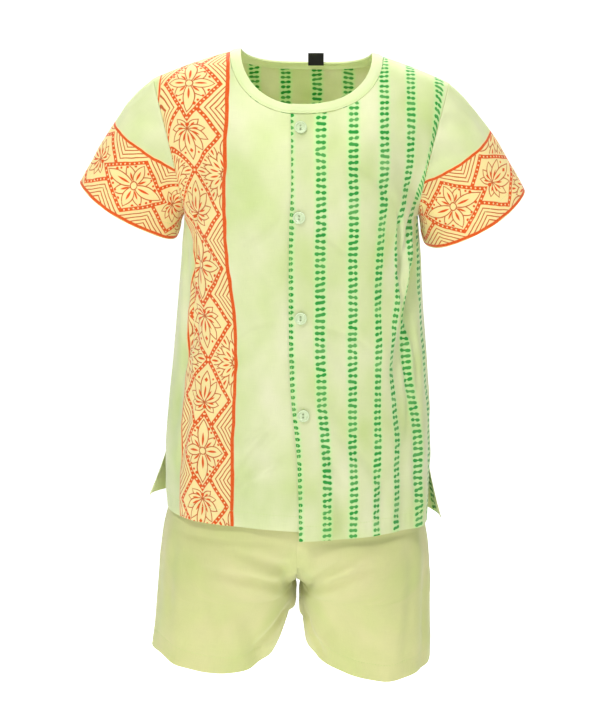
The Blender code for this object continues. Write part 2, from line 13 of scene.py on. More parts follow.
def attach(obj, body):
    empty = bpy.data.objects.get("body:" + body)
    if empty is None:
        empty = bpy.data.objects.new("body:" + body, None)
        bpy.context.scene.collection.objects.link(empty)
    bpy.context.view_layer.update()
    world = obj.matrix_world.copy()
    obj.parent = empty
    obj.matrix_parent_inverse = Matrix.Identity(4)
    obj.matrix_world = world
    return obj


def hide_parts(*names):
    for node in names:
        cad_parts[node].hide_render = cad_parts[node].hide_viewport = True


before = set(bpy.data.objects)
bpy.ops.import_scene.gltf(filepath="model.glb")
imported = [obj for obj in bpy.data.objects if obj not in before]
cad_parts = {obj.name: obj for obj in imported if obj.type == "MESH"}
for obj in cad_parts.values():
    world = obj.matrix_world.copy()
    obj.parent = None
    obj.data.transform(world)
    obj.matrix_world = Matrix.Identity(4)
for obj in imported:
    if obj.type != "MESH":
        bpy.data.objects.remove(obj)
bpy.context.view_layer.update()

MM = 0.001
WAY = {"front": -1.0, "back": 1.0}

# Sizes of the solids, but for thinner cloth and seams that let no light through.
CLOTH = 0.55
SEAM_GAP = 0.06
BINDING_WALL = 1.5
OVERLAP_LIFT = 1.75         # of the wearer's left front over the right one
SQUARE = 2.3                # of the shirt's and the legs' round: 2 is an oval
UNDERARM_Z = -150.0
CROWN_Z = 10.0              # where the shoulder lines would meet above the neck
SHOULDER_Z = -26.0
SHOULDER_X = 134.8
UNDERARM_X = 107.5
SHOULDER_SPREAD = 1.35      # how late the shirt widens from the underarm to the shoulder
ARMHOLE_DEPTH = 34.0        # half of it, front to back
SHOULDER_ANGLE = 58.0       # how far round the body the shoulder seam reaches, in degrees
SHOULDER_TILT = 0.015
# each: at the shirt's cut edge, then at the inner edge of the binding
NECK_FRONT = (0.65, 0.70)   # share of the way from underarm to crown at the lowest point
NECK_BACK = (0.79, 0.838)
NECK_X_RIGHT = (65.0, 55.0)
NECK_X_LEFT = (75.0, 65.0)
UNDER_END, OVER_END = 8.0, 8.8      # degrees past the middle where the binding ends
# top of the vent, its length, how far the back swings out at the hem
VENT_RIGHT = (-378.0, 44.0, 16.5)
VENT_LEFT = (-392.0, 50.0, 12.4)
UNDER_LAP_X = 12.0          # edge of the front that lies under
GIRTH_QUARTER = 158.0       # flat millimetres from the front middle to a side seam

# height, wearer's right edge, wearer's left edge, front depth, back depth
BODY_ROWS = (
    (-150, -107.5, 107.5, 86, 84), (-185, -110.4, 111, 88, 86), (-232, -114.5, 113.2, 90, 88),
    (-280, -118.8, 117.2, 91.5, 89.5), (-329, -124, 120.4, 93, 91), (-377, -127.6, 121.2, 95, 93),
    (-427, -127.2, 120.2, 96, 95), (-450, -126.6, 119.8, 96, 96),
)
# height, edge of the front that laps over
LAP_ROWS = (
    (-450, -1.6), (-400, -2.2), (-355, -3.4), (-335, -5.8), (-315, -8.2), (-290, -10.2),
    (-212, -11.4), (-150, -10.6),
)
# panel: from place and height, to place and height, half width, depth of the large folds
BODY_FOLDS = {
    "front": (
        (-0.8, -160, -0.66, -262, 0.07, 4.2), (-0.66, -245, -0.79, -345, 0.06, 3),
        (-0.58, -290, -0.62, -425, 0.075, -1.8), (0.86, -158, 0.55, -285, 0.06, 4),
        (0.72, -165, 0.46, -270, 0.055, -2.2), (0.56, -270, 0.6, -440, 0.06, 3.2),
        (0.74, -240, 0.76, -440, 0.06, -2.4), (-0.04, -322, -0.36, -412, 0.045, 1.6),
        (0.06, -325, 0.24, -425, 0.05, 1.5), (0.04, -236, 0.3, -292, 0.045, 1.2),
    ),
    "back": (
        (-0.78, -158, -0.46, -300, 0.07, 3.6), (-0.5, -290, -0.56, -430, 0.07, 2.6),
        (0.82, -160, 0.5, -310, 0.065, 3.8), (0.46, -280, 0.44, -436, 0.07, 2.4),
        (-0.08, -180, -0.03, -430, 0.1, 2), (0.24, -250, 0.2, -436, 0.07, -1.8),
    ),
}
# height, outer edge on the wearer's right and left, front depth, back depth
SHORTS_ROWS = (
    (-341, -95, 90, 66, 67), (-360, -106, 101, 76, 78), (-385, -115.5, 109.5, 83, 84.5),
    (-410, -121, 113.2, 87, 87.5), (-430, -124.6, 115.4, 88.5, 88.5),
    (-446, -129.4, 116.8, 88.5, 89), (-466, -132.2, 120.6, 86, 90.5),
    (-505, -135.6, 122.4, 79, 87), (-545, -139, 122.8, 70, 77), (-562, -140.8, 123, 66, 73),
    (-576, -143.8, 123.2, 63, 70), (-592, -145.2, 123.4, 60, 67),
)
SHORTS_TOP_Z = -341.0
CROTCH_Z = -505.0
RISE_CURVE = 62.0           # height over which the middle seam closes the round of a leg
MIDDLE_X = -4.0             # middle seam of the shorts
# place from the inner seam at 0 to the side seam at 1, hem at the front, hem at the back
RIGHT_HEM = (
    (0, -536, -536), (0.06, -551, -538), (0.12, -566, -541), (0.21, -571.5, -547),
    (0.3, -576.5, -557), (0.45, -578, -570), (0.68, -571, -570), (0.84, -563.5, -568),
    (1, -566, -566),
)
LEFT_HEM = (
    (0, -541, -541), (0.08, -561, -543), (0.14, -565.5, -546), (0.24, -569.7, -553),
    (0.34, -574.7, -563), (0.46, -582, -574), (0.58, -586.2, -580), (0.74, -583, -580),
    (1, -578.5, -578.5),
)
# inner edge a leg drop below the crotch, bend of that edge, turn of the back toward the middle
LEG_RIGHT = {"side": -1, "inner": -24.0, "bend": 1.0, "lean": 30.0, "hem": RIGHT_HEM}
LEG_LEFT = {"side": 1, "inner": 4.0, "bend": 0.5, "lean": -17.0, "hem": LEFT_HEM}
LEG_DROP = 70.0
LEG_ROUND = 190.0           # cloth from the inner side of a leg to its outer side
VALLEY_DEPTH = 6.2          # of the dip at the middle seam, above the crotch
VALLEY_WIDTH = 24.0
LEAN_CLEAR = 0.5            # left between the two legs
LEAN_REACH = 12.4           # how far both backs come together at their full lean
LEAN_BEND = 0.565
# leg side and panel: place at the top, place at the hem, height of the top, half width, depth
SHORTS_FOLDS = {
    (-1, "front"): (
        (0.3, 0.22, -440, 0.085, 3), (0.62, 0.7, -455, 0.07, -2),
    ),
    (1, "front"): (
        (0.26, 0.16, -450, 0.08, 2.6), (0.8, 0.84, -440, 0.06, 2.6),
        (0.55, 0.6, -470, 0.08, -1.6),
    ),
    (-1, "back"): (
        (0.36, 0.3, -450, 0.085, 3.2), (0.72, 0.76, -465, 0.07, 2),
    ),
    (1, "back"): (
        (0.34, 0.26, -455, 0.085, 3), (0.68, 0.72, -470, 0.07, -2.2),
    ),
}
WAIST_TOP_Z = -318.0
WAIST_LOW_Z = -340.7
WAIST_HALF_X = 92.5
WAIST_HALF_Y = 66.0
WAIST_MID_X = -2.5
GATHERS = 19
GATHER_DEPTH = 1.6
WAIST_WALL = 1.6
# sleeve hem at its top and its bottom, as x and height, then the form of the tube
SLEEVE_RIGHT = {"side": -1, "outer": (-204.0, -120.5), "inner": (-114.6, -171.6),
                "depth": 37.0, "front_drop": 5.0, "round": 0.28}
SLEEVE_LEFT = {"side": 1, "outer": (205.2, -129.0), "inner": (114.2, -178.0),
               "depth": 39.0, "front_drop": 8.5, "round": 0.20}
SLEEVE_START = 0.45         # gap to the armhole
# x and height
BUTTONS = ((-0.9, -56.2), (-1.8, -135.4), (0.0, -229.2), (2.7, -318.3))
LABEL_X = 13.8
LABEL_WIDTH = 14.4
LABEL_TALL = 13.5
LABEL_TOP_Z = -6.6
LABEL_LEAN = 20.0
LABEL_WALL = 0.28

# Creases of the cloth.
# panel: from flat across and height, to flat across and height, bow, half width, depth
CREASES = {
    "front": (
        # cloth taken up below the arms, at the side of the front
        (101, -140, 98, -204, 2, 3.6, 2.6), (98.5, -196, 92.5, -250, 0, 3.6, 2.3),
        (111, -176, 106, -244, 2, 3.4, 1.9), (106, -238, 114, -306, -2, 4, 1.3),
        (-113, -136, -115, -196, 0, 3.6, 2.6), (-115, -188, -110.5, -240, 0, 3.6, 2.3),
        (-110.5, -232, -118, -300, 0, 4.2, 1.4),
        # wearer's left front: pulls from the armhole, from the buttons, and long drapes
        (128, -140, 92, -212, 6, 5, 1.7), (142, -152, 104, -240, 5, 4.2, 1.5),
        (118, -170, 84, -262, 4, 4.6, -1.1), (96, -250, 98, -360, -4, 5, 1.4),
        (110, -300, 112, -425, 3, 6, 1.1), (10, -142, 56, -182, 3, 4, 0.9),
        (12, -236, 62, -262, -3, 4.2, 0.8), (12, -325, 40, -392, 3, 4.6, 1),
        (22, -330, 74, -400, -4, 5.5, 0.8), (60, -95, 104, -128, -4, 6, 0.9),
        (74, -380, 70, -438, 2, 7, 1.3), (36, -392, 34, -440, 1, 6, 0.9),
        # wearer's right front
        (-130, -140, -100, -205, -5, 5, 1.5), (-140, -160, -118, -280, -5, 5, 1.4),
        (-112, -196, -94, -292, 4, 4.4, -1), (-96, -300, -112, -392, -3, 6, 1.2),
        (-16, -135, -58, -168, -3, 4.2, 0.8), (-14, -230, -54, -252, 3, 4, 0.7),
        (-10, -322, -56, -400, 4, 4.2, 1.2), (-14, -318, -46, -356, 3, 3.6, 0.8),
        (-30, -350, -40, -426, 2, 6, 1), (-11, -360, -49, -396, 2, 3.2, -1.2),
        (-20, -250, -70, -300, 5, 6, 0.7), (-58, -150, -24, -215, 4, 6, 0.6),
        (-66, -80, -104, -120, 4, 6, 0.8), (-76, -360, -80, -426, 2, 7, 1.1),
    ),
    "back": (
        # back
        (-132, -142, -84, -228, 6, 5, 1.8), (-118, -176, -66, -262, 5, 4.6, 1.3),
        (-96, -270, -88, -392, -4, 5.4, 1.4), (-30, -250, -18, -420, 5, 7, 1.2),
        (30, -210, 22, -330, -4, 6, 1), (62, -300, 52, -430, 4, 6.4, 1.4),
        (134, -144, 82, -236, -6, 5, 1.9), (116, -182, 70, -276, -5, 4.4, 1.2),
        (108, -280, 104, -410, 3, 5.6, 1.3), (-60, -84, 10, -104, 6, 7, 0.8),
        (70, -90, 30, -150, 5, 7, 0.8), (-54, -376, -60, -430, 1, 7, 1.2),
    ),
}
# sleeve side: from turn and share of length, to turn and share, half width, depth;
# turn is in degrees from the top of the sleeve, below nothing at the front
SLEEVE_CREASES = {
    -1: (
        (-128, 0.06, -70, 0.72, 12, 1.9), (-104, 0.02, -46, 0.6, 10, 1.3),
        (-60, 0.04, -22, 0.55, 11, 1), (-18, 0.05, -8, 0.6, 13, 0.8),
        (-86, 0.45, -60, 1, 12, 1.2), (112, 0.04, 66, 0.7, 12, 1.7), (74, 0.03, 38, 0.62, 11, 1),
        (130, 0.3, 96, 1, 13, 1.2),
    ),
    1: (
        (-130, 0.05, -78, 0.7, 12, 2), (-98, 0.02, -52, 0.66, 10, 1.4),
        (-66, 0.03, -30, 0.5, 9, 1.1), (-24, 0.04, -14, 0.7, 12, 0.8),
        (-112, 0.4, -84, 1, 13, 1.4), (108, 0.04, 62, 0.72, 12, 1.8), (70, 0.03, 34, 0.6, 11, 1),
        (138, 0.3, 104, 1, 12, 1.1),
    ),
}
# leg side and panel: from place and height, to place and height, half width in place, depth
SHORTS_CREASES = {
    (-1, "front"): (
        (0.04, -498, 0.34, -448, 0.04, 2), (0.06, -508, 0.5, -470, 0.045, 1.6),
        (0.1, -520, 0.3, -560, 0.05, 1.1), (0.44, -450, 0.4, -560, 0.07, 0.7),
        (0.7, -440, 0.74, -540, 0.06, 0.7), (0.86, -440, 0.88, -550, 0.06, 0.4),
    ),
    (1, "front"): (
        (0.04, -496, 0.3, -450, 0.04, 2.1), (0.05, -508, 0.46, -462, 0.04, 1.7),
        (0.1, -522, 0.26, -566, 0.05, 1.2), (0.4, -446, 0.36, -550, 0.07, 0.6),
        (0.66, -440, 0.68, -570, 0.06, 0.7), (0.84, -440, 0.86, -575, 0.055, 0.7),
    ),
    (-1, "back"): (
        (0.05, -500, 0.36, -450, 0.045, 2), (0.08, -512, 0.5, -476, 0.045, 1.5),
        (0.54, -440, 0.5, -560, 0.05, 1.3), (0.8, -445, 0.84, -550, 0.045, 1.2),
    ),
    (1, "back"): (
        (0.05, -500, 0.34, -452, 0.045, 2), (0.08, -512, 0.52, -470, 0.045, 1.6),
        (0.56, -444, 0.52, -566, 0.05, 1.2), (0.82, -440, 0.86, -560, 0.04, 1.3),
    ),
}
CREASE_GAIN = 2.1
CREASE_RIM = 0.55           # share of the low ridge beside a crease
# length of wave, direction in degrees, start, height of wave
RIPPLES = (
    (61, 12, 0.4, 0.34), (43, 71, 2.1, 0.22), (37, -38, 4.4, 0.22), (27, 22, 1.3, 0.13),
    (21, -64, 5.2, 0.1), (16, 48, 3.3, 0.06),
)

# Height, then where the cloth cut at each CUT distance from the front middle now lies.  Lines
# that come close together have cloth taken up in a fold between them.
GRAIN_RIGHT_CUT = (0.0, -68.0, -99.0, -108.0, -130.0, -160.0)
GRAIN_RIGHT = (
    (0, 0, -66.5, -98.5, -107, -125, -152), (-30, 0, -66.4, -102.5, -111, -129, -155),
    (-62, 0, -68.3, -104, -112.5, -131.5, -155), (-98, 0, -69.8, -96.8, -104, -123.5, -145),
    (-137, 0, -69.8, -96.2, -101.5, -111.5, -121), (-160, 0, -69, -94.5, -99, -102.5, -112),
    (-186, 0, -66.5, -92.8, -98.5, -100.8, -108.5), (-229, 0, -60, -89, -97, -107, -113.5),
    (-269, 0, -59.5, -84.5, -92.5, -107.8, -117), (-308, 0, -61, -88, -95.5, -108, -119),
    (-355, 0, -63, -90.6, -97.5, -110.5, -121), (-401, 0, -64, -91.6, -98.5, -111.5, -122),
    (-440, 0, -64.5, -92, -99, -111.5, -122),
)
GRAIN_LEFT_CUT = (-10.9, 17.8, 47.1, 76.4, 105.7, 135.0, 164.3)
GRAIN_LEFT = (
    (-8, -10.6, 17.8, 47.5, 75.7, 99, 127, 150), (-50, -10.6, 17.8, 47.5, 75.2, 100, 126, 148),
    (-98, -10.6, 17.8, 47.5, 76, 99.5, 117, 130), (-125, -10.6, 17.8, 47.5, 75.8, 95.8, 108, 118),
    (-147, -10.6, 17.8, 47.5, 74.6, 89, 100.5, 107),
    (-170, -10.9, 17.6, 47.5, 72.8, 86.6, 99, 105.5),
    (-198, -11.2, 17.2, 47.5, 70.4, 89.4, 96.5, 102.6),
    (-222, -11.2, 17, 47.5, 70.2, 87, 94.6, 102.4),
    (-237, -11, 16.9, 47.5, 70.8, 83.8, 95.4, 104),
    (-265, -10.6, 17.2, 47.5, 71.6, 83.4, 97.8, 109.5),
    (-300, -9.4, 18.2, 47.5, 70.4, 84.8, 100.4, 114),
    (-320, -7.6, 20, 47.5, 70.2, 86.4, 104.6, 114.8),
    (-345, -4.6, 22.6, 47.8, 71.6, 89.4, 108, 115.5),
    (-380, -2.8, 24.2, 48.6, 70.4, 89.8, 108.5, 115.8),
    (-440, -1.8, 23.4, 48.2, 70.2, 89.8, 108.5, 117),
)
BACK_SHIFT = 2.9            # the print on the back starts a little off its middle

BAND_HALF = 31.0            # half the width of the printed border
FRONT_BAND_AT = -99.0       # flat distance of its middle from the front middle
SLEEVE_BAND_AT = 33.0       # its middle above the sleeve hem
STRIPE_PITCH = 29.3
STRIPE_FIRST = 17.8
PLAIN_EDGE = 146.0          # no strokes farther than this on the wearer's right
SIDE_ROWS = 11              # rows of points over which the print's turn at the side is evened
SHINE_THROUGH = 0.32        # share of the light that goes through the cloth

# Sewing: the row above the edge at each hem, and the size of a stitch.
SHIRT_HEM = 14.5
SLEEVE_HEM = 15.0
SHORTS_HEM = 17.0
PLACKET_ROW = 22.0          # from the lapped edge
PLACKET_EDGE_ROW = 1.6
STITCH_PITCH, STITCH_LENGTH, STITCH_RADIUS = 2.7, 2.0, 0.17
BUTTON_SINK = 0.42          # a button's underside above the highest cloth below it

# Points across and along each grid.
FRONT_ACROSS, BACK_ACROSS = 124, 190
LOW_ROWS, HIGH_ROWS = 130, 84
SLEEVE_GRID = (168, 76)
BINDING_GRID = (430, 14)
LEG_ACROSS, LEG_LOW, LEG_HIGH = 88, 46, 78
WAIST_GRID = (460, 14)
BODY_MIDDLE = (0.0, 0.0, -230.0)


def smooth(value):
    """Rises softly from 0 to 1."""
    value = np.clip(value, 0.0, 1.0)
    return value * value * (3.0 - 2.0 * value)


def softened(rows, index, blur=9.0):
    """A column of a table as a smooth function of height."""
    rows = sorted(rows)
    fine = np.arange(rows[0][0] - 60.0, rows[-1][0] + 60.0, 2.0)
    values = np.interp(fine, [row[0] for row in rows], [row[index] for row in rows])
    reach = int(3.0 * blur / 2.0)
    kernel = np.exp(-0.5 * (np.arange(-reach, reach + 1) * 2.0 / blur) ** 2)
    padded = np.concatenate((np.full(reach, values[0]), values, np.full(reach, values[-1])))
    values = np.convolve(padded, kernel / kernel.sum(), mode="valid")
    return lambda height: np.interp(height, fine, values)


BODY_RIGHT = softened(BODY_ROWS, 1)
BODY_LEFT = softened(BODY_ROWS, 2)
BODY_DEPTH = {"front": softened(BODY_ROWS, 3), "back": softened(BODY_ROWS, 4)}
LAP_EDGE = softened(LAP_ROWS, 1, 14.0)
SHORTS_OUT = {-1: softened(SHORTS_ROWS, 1, 6.0), 1: softened(SHORTS_ROWS, 2, 6.0)}
SHORTS_DEPTH = {"front": softened(SHORTS_ROWS, 3, 8.0), "back": softened(SHORTS_ROWS, 4, 8.0)}


def fullness(sine):
    """Depth of a section at the sine of the turn, for a shape between an oval and a square."""
    return np.clip(1.0 - np.abs(sine) ** SQUARE, 0.0, 1.0) ** (1.0 / SQUARE)


def body_half(height):
    """Middle of the shirt and half its width."""
    left, right = BODY_LEFT(height), BODY_RIGHT(height)
    return (left + right) / 2.0, (left - right) / 2.0


def across_to_place(across, height):
    """Place round the shirt, -1 and 1 at the side seams and 0 in the middle, for an x."""
    middle, half = body_half(height)
    return np.arcsin((across - middle) / half) / (np.pi / 2.0)


LAP_PLACE = float(across_to_place(LAP_EDGE(UNDERARM_Z), UNDERARM_Z))
UNDER_PLACE = float(across_to_place(UNDER_LAP_X, UNDERARM_Z))


def neck_place(across):
    """Place on the shoulder seam at an x."""
    sine = across / SHOULDER_X * math.sin(math.radians(SHOULDER_ANGLE))
    return math.asin(sine) / math.radians(SHOULDER_ANGLE)


def neck_reach(place, panel):
    """How far up each place of a panel goes before the neck cuts it."""
    deepest = (NECK_FRONT if panel == "front" else NECK_BACK)[0]
    limit = np.where(place > 0.0, neck_place(NECK_X_LEFT[0]), neck_place(NECK_X_RIGHT[0]))
    ratio = np.clip(np.abs(place) / limit, 0.0, 1.0)
    return 1.0 - (1.0 - deepest) * np.sqrt(1.0 - ratio * ratio)


def upper_point(place, reach, panel):
    """Shirt above the underarm; reach is 0 there and 1 at the shoulder seam."""
    depth = float(BODY_DEPTH[panel](UNDERARM_Z))
    end = np.radians(90.0 - (90.0 - SHOULDER_ANGLE) * smooth(reach / 0.35))
    angle = end * place
    half = UNDERARM_X + (SHOULDER_X - UNDERARM_X) * np.clip(reach, 0.0, 1.0) ** SHOULDER_SPREAD
    x = half * np.sin(angle) / np.sin(end)
    edge_y = ARMHOLE_DEPTH * 2.0 * np.sqrt(np.clip(reach * (1.0 - reach), 0.0, 1.0))
    mid_y = depth * np.sqrt(np.clip(1.0 - reach * reach, 0.0, 1.0))
    low = fullness(np.sin(end))
    share = (fullness(np.sin(angle)) - low) / (1.0 - low)
    pull = np.abs(place) ** (2.2 + 7.0 * (1.0 - smooth(reach / 0.7)))
    y = mid_y * share + edge_y * pull
    mid_z = UNDERARM_Z + (CROWN_Z - UNDERARM_Z) * reach
    edge_z = UNDERARM_Z + (SHOULDER_Z - UNDERARM_Z) * reach
    z = mid_z + (edge_z - mid_z) * (np.abs(x) / half) ** 1.7 - SHOULDER_TILT * x * reach
    return np.stack(np.broadcast_arrays(x, WAY[panel] * y, z), -1)


def lower_point(place, height, panel):
    """Shirt below the underarm."""
    middle, half = body_half(height)
    sine = np.sin(place * np.pi / 2.0)
    y = WAY[panel] * BODY_DEPTH[panel](height) * fullness(sine)
    return np.stack(np.broadcast_arrays(middle + half * sine, y, height), -1)


def hem_height(place, cut):
    """Hem of each shirt piece, lower on the wearer's left; the left front is the longest."""
    if cut == "back":
        return -431.5 - 10.9 * place
    if cut == "front_right":
        return -428.2 + 2.4 * np.sin(np.pi * np.minimum(-place, 1.0)) + 1.1 * place * place
    return -437.2 - 5.6 * place ** 4 + 0.9 * np.sin(np.pi * place)


def flare(place, height, cut):
    """Opening of the side vents, where the back swings out behind the front."""
    top, length, out = (np.where(place < 0.0, *ends) for ends in zip(VENT_RIGHT, VENT_LEFT))
    down = np.maximum(top - height, 0.0) / length
    near = np.exp(-((1.0 - np.abs(place)) / 0.13) ** 2)
    if cut == "back":
        return out * down ** 1.15 * near
    return -0.9 * smooth(down) * near


def fold_shift(place, height, panel):
    """Large folds of the shirt, which the solids have too, and the waves of its hem."""
    total = np.zeros(np.broadcast(place, height).shape)
    for top_at, top_z, low_at, low_z, width, depth in BODY_FOLDS[panel]:
        along = (top_z - height) / (top_z - low_z)
        ends = smooth((along + 0.25) / 0.40) * smooth((1.25 - along) / 0.40)
        centre = top_at + (low_at - top_at) * along
        total -= depth * ends * np.exp(-((place - centre) / width) ** 2)
    total *= smooth((np.abs(place) - 0.08) / 0.14)
    hem = smooth((-330.0 - height) / 110.0)
    waves = np.sin(9.0 * place + 0.6) + 0.6 * np.sin(15.0 * place + 2.1)
    total += 1.0 * hem * waves
    return total * (1.0 - np.abs(place) ** 10)


def crease(across, along, row):
    """Soft trough between low ridges, along a bowed line."""
    u0, v0, u1, v1, bow, width, depth = row
    du, dv = u1 - u0, v1 - v0
    length = math.hypot(du, dv)
    share = ((across - u0) * du + (along - v0) * dv) / length ** 2
    beside = ((across - u0) * dv - (along - v0) * du) / length
    beside = beside - bow * 4.0 * share * (1.0 - share)
    ends = smooth((share + 0.10) / 0.35) * smooth((1.10 - share) / 0.45)
    ratio = (beside / width) ** 2
    return -CREASE_GAIN * depth * ends * (1.0 - CREASE_RIM * ratio) * np.exp(-0.75 * ratio)


def ripple(across, along, start):
    """Shallow uneven swell of worn cotton."""
    total = 0.0
    for length, turn, phase, height in RIPPLES:
        way = math.radians(turn + 13.0 * start)
        travel = (across * math.cos(way) + along * math.sin(way)) / length
        total = total + height * np.sin(2.0 * np.pi * travel + phase + 1.7 * start)
    return total


def lap_lift(across, cut):
    """The wearer's left front lies over the right one."""
    if cut != "front_left":
        return 0.0
    return OVERLAP_LIFT * smooth((UNDER_LAP_X + 24.0 - across) / 22.0)


def lengths(points, axis):
    """Distance run along the rows or columns of a grid."""
    step = np.linalg.norm(np.diff(points, axis=axis), axis=2)
    pad = [(0, 0), (0, 0)]
    pad[axis] = (1, 0)
    return np.pad(np.cumsum(step, axis=axis), pad)


def laid_flat(points):
    """Cloth position of a grid that was cut as a plain shape."""
    return np.stack((lengths(points, 0), lengths(points, 1)), -1)


def body_grid(cut, places, low_rows, high_rows):
    """Outer points of one shirt piece with its place, its height and its way out."""
    panel = "back" if cut == "back" else "front"
    at = places[:, None]
    share = (np.arange(low_rows) / low_rows)[None, :] ** 1.05
    place = at + 0.0 * share
    for _ in range(3):
        height = hem_height(place, cut) * (1.0 - share) + UNDERARM_Z * share
        if cut == "front_left":
            lap = across_to_place(LAP_EDGE(height), height)
            place = lap + (1.0 - lap) * (at - LAP_PLACE) / (1.0 - LAP_PLACE)
    low = lower_point(place, height, panel)
    rise = 0.5 - 0.5 * np.cos(np.pi * np.arange(high_rows + 1) / high_rows)
    reach = neck_reach(at, panel) * rise[None, :]
    high = upper_point(at + 0.0 * reach, reach, panel)
    points = np.concatenate((low, high), axis=1)
    place = np.concatenate((place, at + 0.0 * reach), axis=1)
    height = points[:, :, 2]
    whole = np.ones_like(share + at)
    fade = np.concatenate((whole, smooth(1.0 - reach / 0.30)), axis=1)
    shift = fold_shift(place, height, panel) * fade + flare(place, height, cut)
    flat = place * GIRTH_QUARTER
    small = np.zeros_like(flat)
    for row in CREASES[panel]:
        small += crease(flat, height, row)
    small += ripple(flat, height, 0.0 if panel == "front" else 2.0)
    calm = smooth((1.0 - np.abs(place)) / 0.05)
    top_gap = np.concatenate((whole, smooth((1.0 - rise) / 0.10) + 0.0 * at), axis=1)
    overlap = smooth((np.abs(points[:, :, 0]) - 6.0) / 22.0) if panel == "front" else 1.0
    shift = shift + small * calm * top_gap * overlap + lap_lift(points[:, :, 0], cut)
    hem_gap = height - hem_height(place, cut)
    pucker = np.sin(flat * 2.0 * np.pi / 6.3 + 0.8 * np.sin(flat / 17.0))
    shift = hem_marks(shift, pucker, hem_gap, (0.16, 9.0, 6.0), (0.22, SHIRT_HEM, 1.3))
    points[:, :, 1] += 0.5 * SEAM_GAP * WAY[panel]
    return points, shift, place, reach, hem_gap


def hem_marks(shift, wave, hem_gap, pucker, row):
    """Puckers in a turned-up hem, then the dent of its sewing: each height, middle, width."""
    for (high, at, width), form in ((pucker, wave), (row, -1.0)):
        shift = shift + high * form * np.exp(-((hem_gap - at) / width) ** 2)
    return shift


def hem_wall(hem_gap, row, more=0.45):
    """Thickness of cloth that is turned up as far as its sewn row."""
    return CLOTH + more * smooth((row - 0.5 - hem_gap) / 1.5)


def grid_normals(points, flat_edges, outward):
    """Ways out of a grid; at a flat edge they lose y, or the part that is named."""
    normals = np.cross(np.gradient(points, axis=0), np.gradient(points, axis=1))
    normals /= np.linalg.norm(normals, axis=2, keepdims=True) + 1e-12
    if np.sum(normals * (points - np.array(outward)), axis=2).mean() < 0.0:
        normals = -normals
    for edge in flat_edges:
        normals[edge if len(edge) == 3 else edge + (1,)] = 0.0
    return normals / (np.linalg.norm(normals, axis=2, keepdims=True) + 1e-12)


def new_piece(name, verts, faces):
    """Object from points in millimetres."""
    mesh = bpy.data.meshes.new(name)
    mesh.from_pydata((np.array(verts) * MM).tolist(), [], faces)
    mesh.shade_smooth()
    mesh.update()
    piece = bpy.data.objects.new(name, mesh)
    bpy.context.scene.collection.objects.link(piece)
    return piece


def cloth_sheet(name, points, shift, wall, outward, flat_map, flat_edges=()):
    """Thin closed wall on a grid of points, with its flat cloth position as the UV."""
    base = grid_normals(points, flat_edges, outward)
    outer = points + base * shift[:, :, None]
    normals = grid_normals(outer, flat_edges, outward)
    inner = outer - normals * (wall[:, :, None] if hasattr(wall, "shape") else wall)
    n, m = points.shape[:2]
    index = np.arange(n * m).reshape(n, m)
    quads = np.stack((index[:-1, :-1], index[1:, :-1], index[1:, 1:], index[:-1, 1:]), -1)
    quads = quads.reshape(-1, 4)
    rims = []
    for line in (index[:, 0], index[-1, :], index[::-1, -1], index[0, ::-1]):
        a, b = line[:-1], line[1:]
        rims.append(np.stack((b, a, a + n * m, b + n * m), -1))
    faces = np.concatenate([quads, quads[:, ::-1] + n * m] + rims)
    verts = np.concatenate((outer.reshape(-1, 3), inner.reshape(-1, 3)))
    turned = np.cross(outer[1, 0] - outer[0, 0], outer[0, 1] - outer[0, 0]) @ normals[0, 0]
    if turned < 0.0:
        faces = faces[:, ::-1]
    piece = new_piece(name, verts, faces.tolist())
    mesh = piece.data
    spot = np.concatenate((flat_map.reshape(-1, 2), flat_map.reshape(-1, 2))) * MM
    layer = mesh.uv_layers.new(name="cloth")
    loops = np.zeros(len(mesh.loops), dtype=np.int32)
    mesh.loops.foreach_get("vertex_index", loops)
    layer.data.foreach_set("uv", spot[loops].astype(np.float32).ravel())
    mesh.set_sharp_from_angle(angle=math.radians(70.0))
    mesh.update()
    return piece, outer, normals


# Shader writing.
def operation(kind):
    """Way to write one kind of maths node."""
    return lambda self, *others: self.run(kind, *others)


class Term:
    """A number in a node tree, so that patterns read as sums."""

    def __init__(self, tree, source):
        self.tree = tree
        self.source = source

    def put(self, socket):
        """Feeds an input."""
        if hasattr(self.source, "is_linked"):
            self.tree.links.new(self.source, socket)
        else:
            socket.default_value = self.source

    def run(self, operation, *others, clamp=False):
        node = self.tree.nodes.new("ShaderNodeMath")
        node.operation = operation
        node.use_clamp = clamp
        for socket, value in zip(node.inputs, (self,) + others):
            if isinstance(value, Term):
                value.put(socket)
            else:
                socket.default_value = value
        return Term(self.tree, node.outputs[0])

    __add__, __sub__ = operation("ADD"), operation("SUBTRACT")
    __mul__, __truediv__ = operation("MULTIPLY"), operation("DIVIDE")
    __abs__, least, most = operation("ABSOLUTE"), operation("MINIMUM"), operation("MAXIMUM")
    sine, cosine, arc_tangent = operation("SINE"), operation("COSINE"), operation("ARCTAN2")
    root, part, floor = operation("SQRT"), operation("FRACT"), operation("FLOOR")
    sign = operation("SIGN")

    def __neg__(self):
        return self * -1.0

    def clamped(self):
        return self.run("ADD", 0.0, clamp=True)

    def ink(self, soft=0.25):
        """1 where the distance is below nothing, with a soft edge."""
        return (self * (-1.0 / soft) + 0.5).clamped()


def new_group(name, inputs, outputs):
    """Node group of numbers: its tree, its inputs as terms and its end."""
    tree = bpy.data.node_groups.new(name, "ShaderNodeTree")
    for way, labels in (("INPUT", inputs), ("OUTPUT", outputs)):
        for label in labels:
            tree.interface.new_socket(name=label, in_out=way, socket_type="NodeSocketFloat")
    start = tree.nodes.new("NodeGroupInput")
    end = tree.nodes.new("NodeGroupOutput")
    return tree, [Term(tree, start.outputs[label]) for label in inputs], end


def dial(node, **values):
    """Sets inputs of a node by their names."""
    for label, value in values.items():
        node.inputs[label.replace("_", " ")].default_value = value


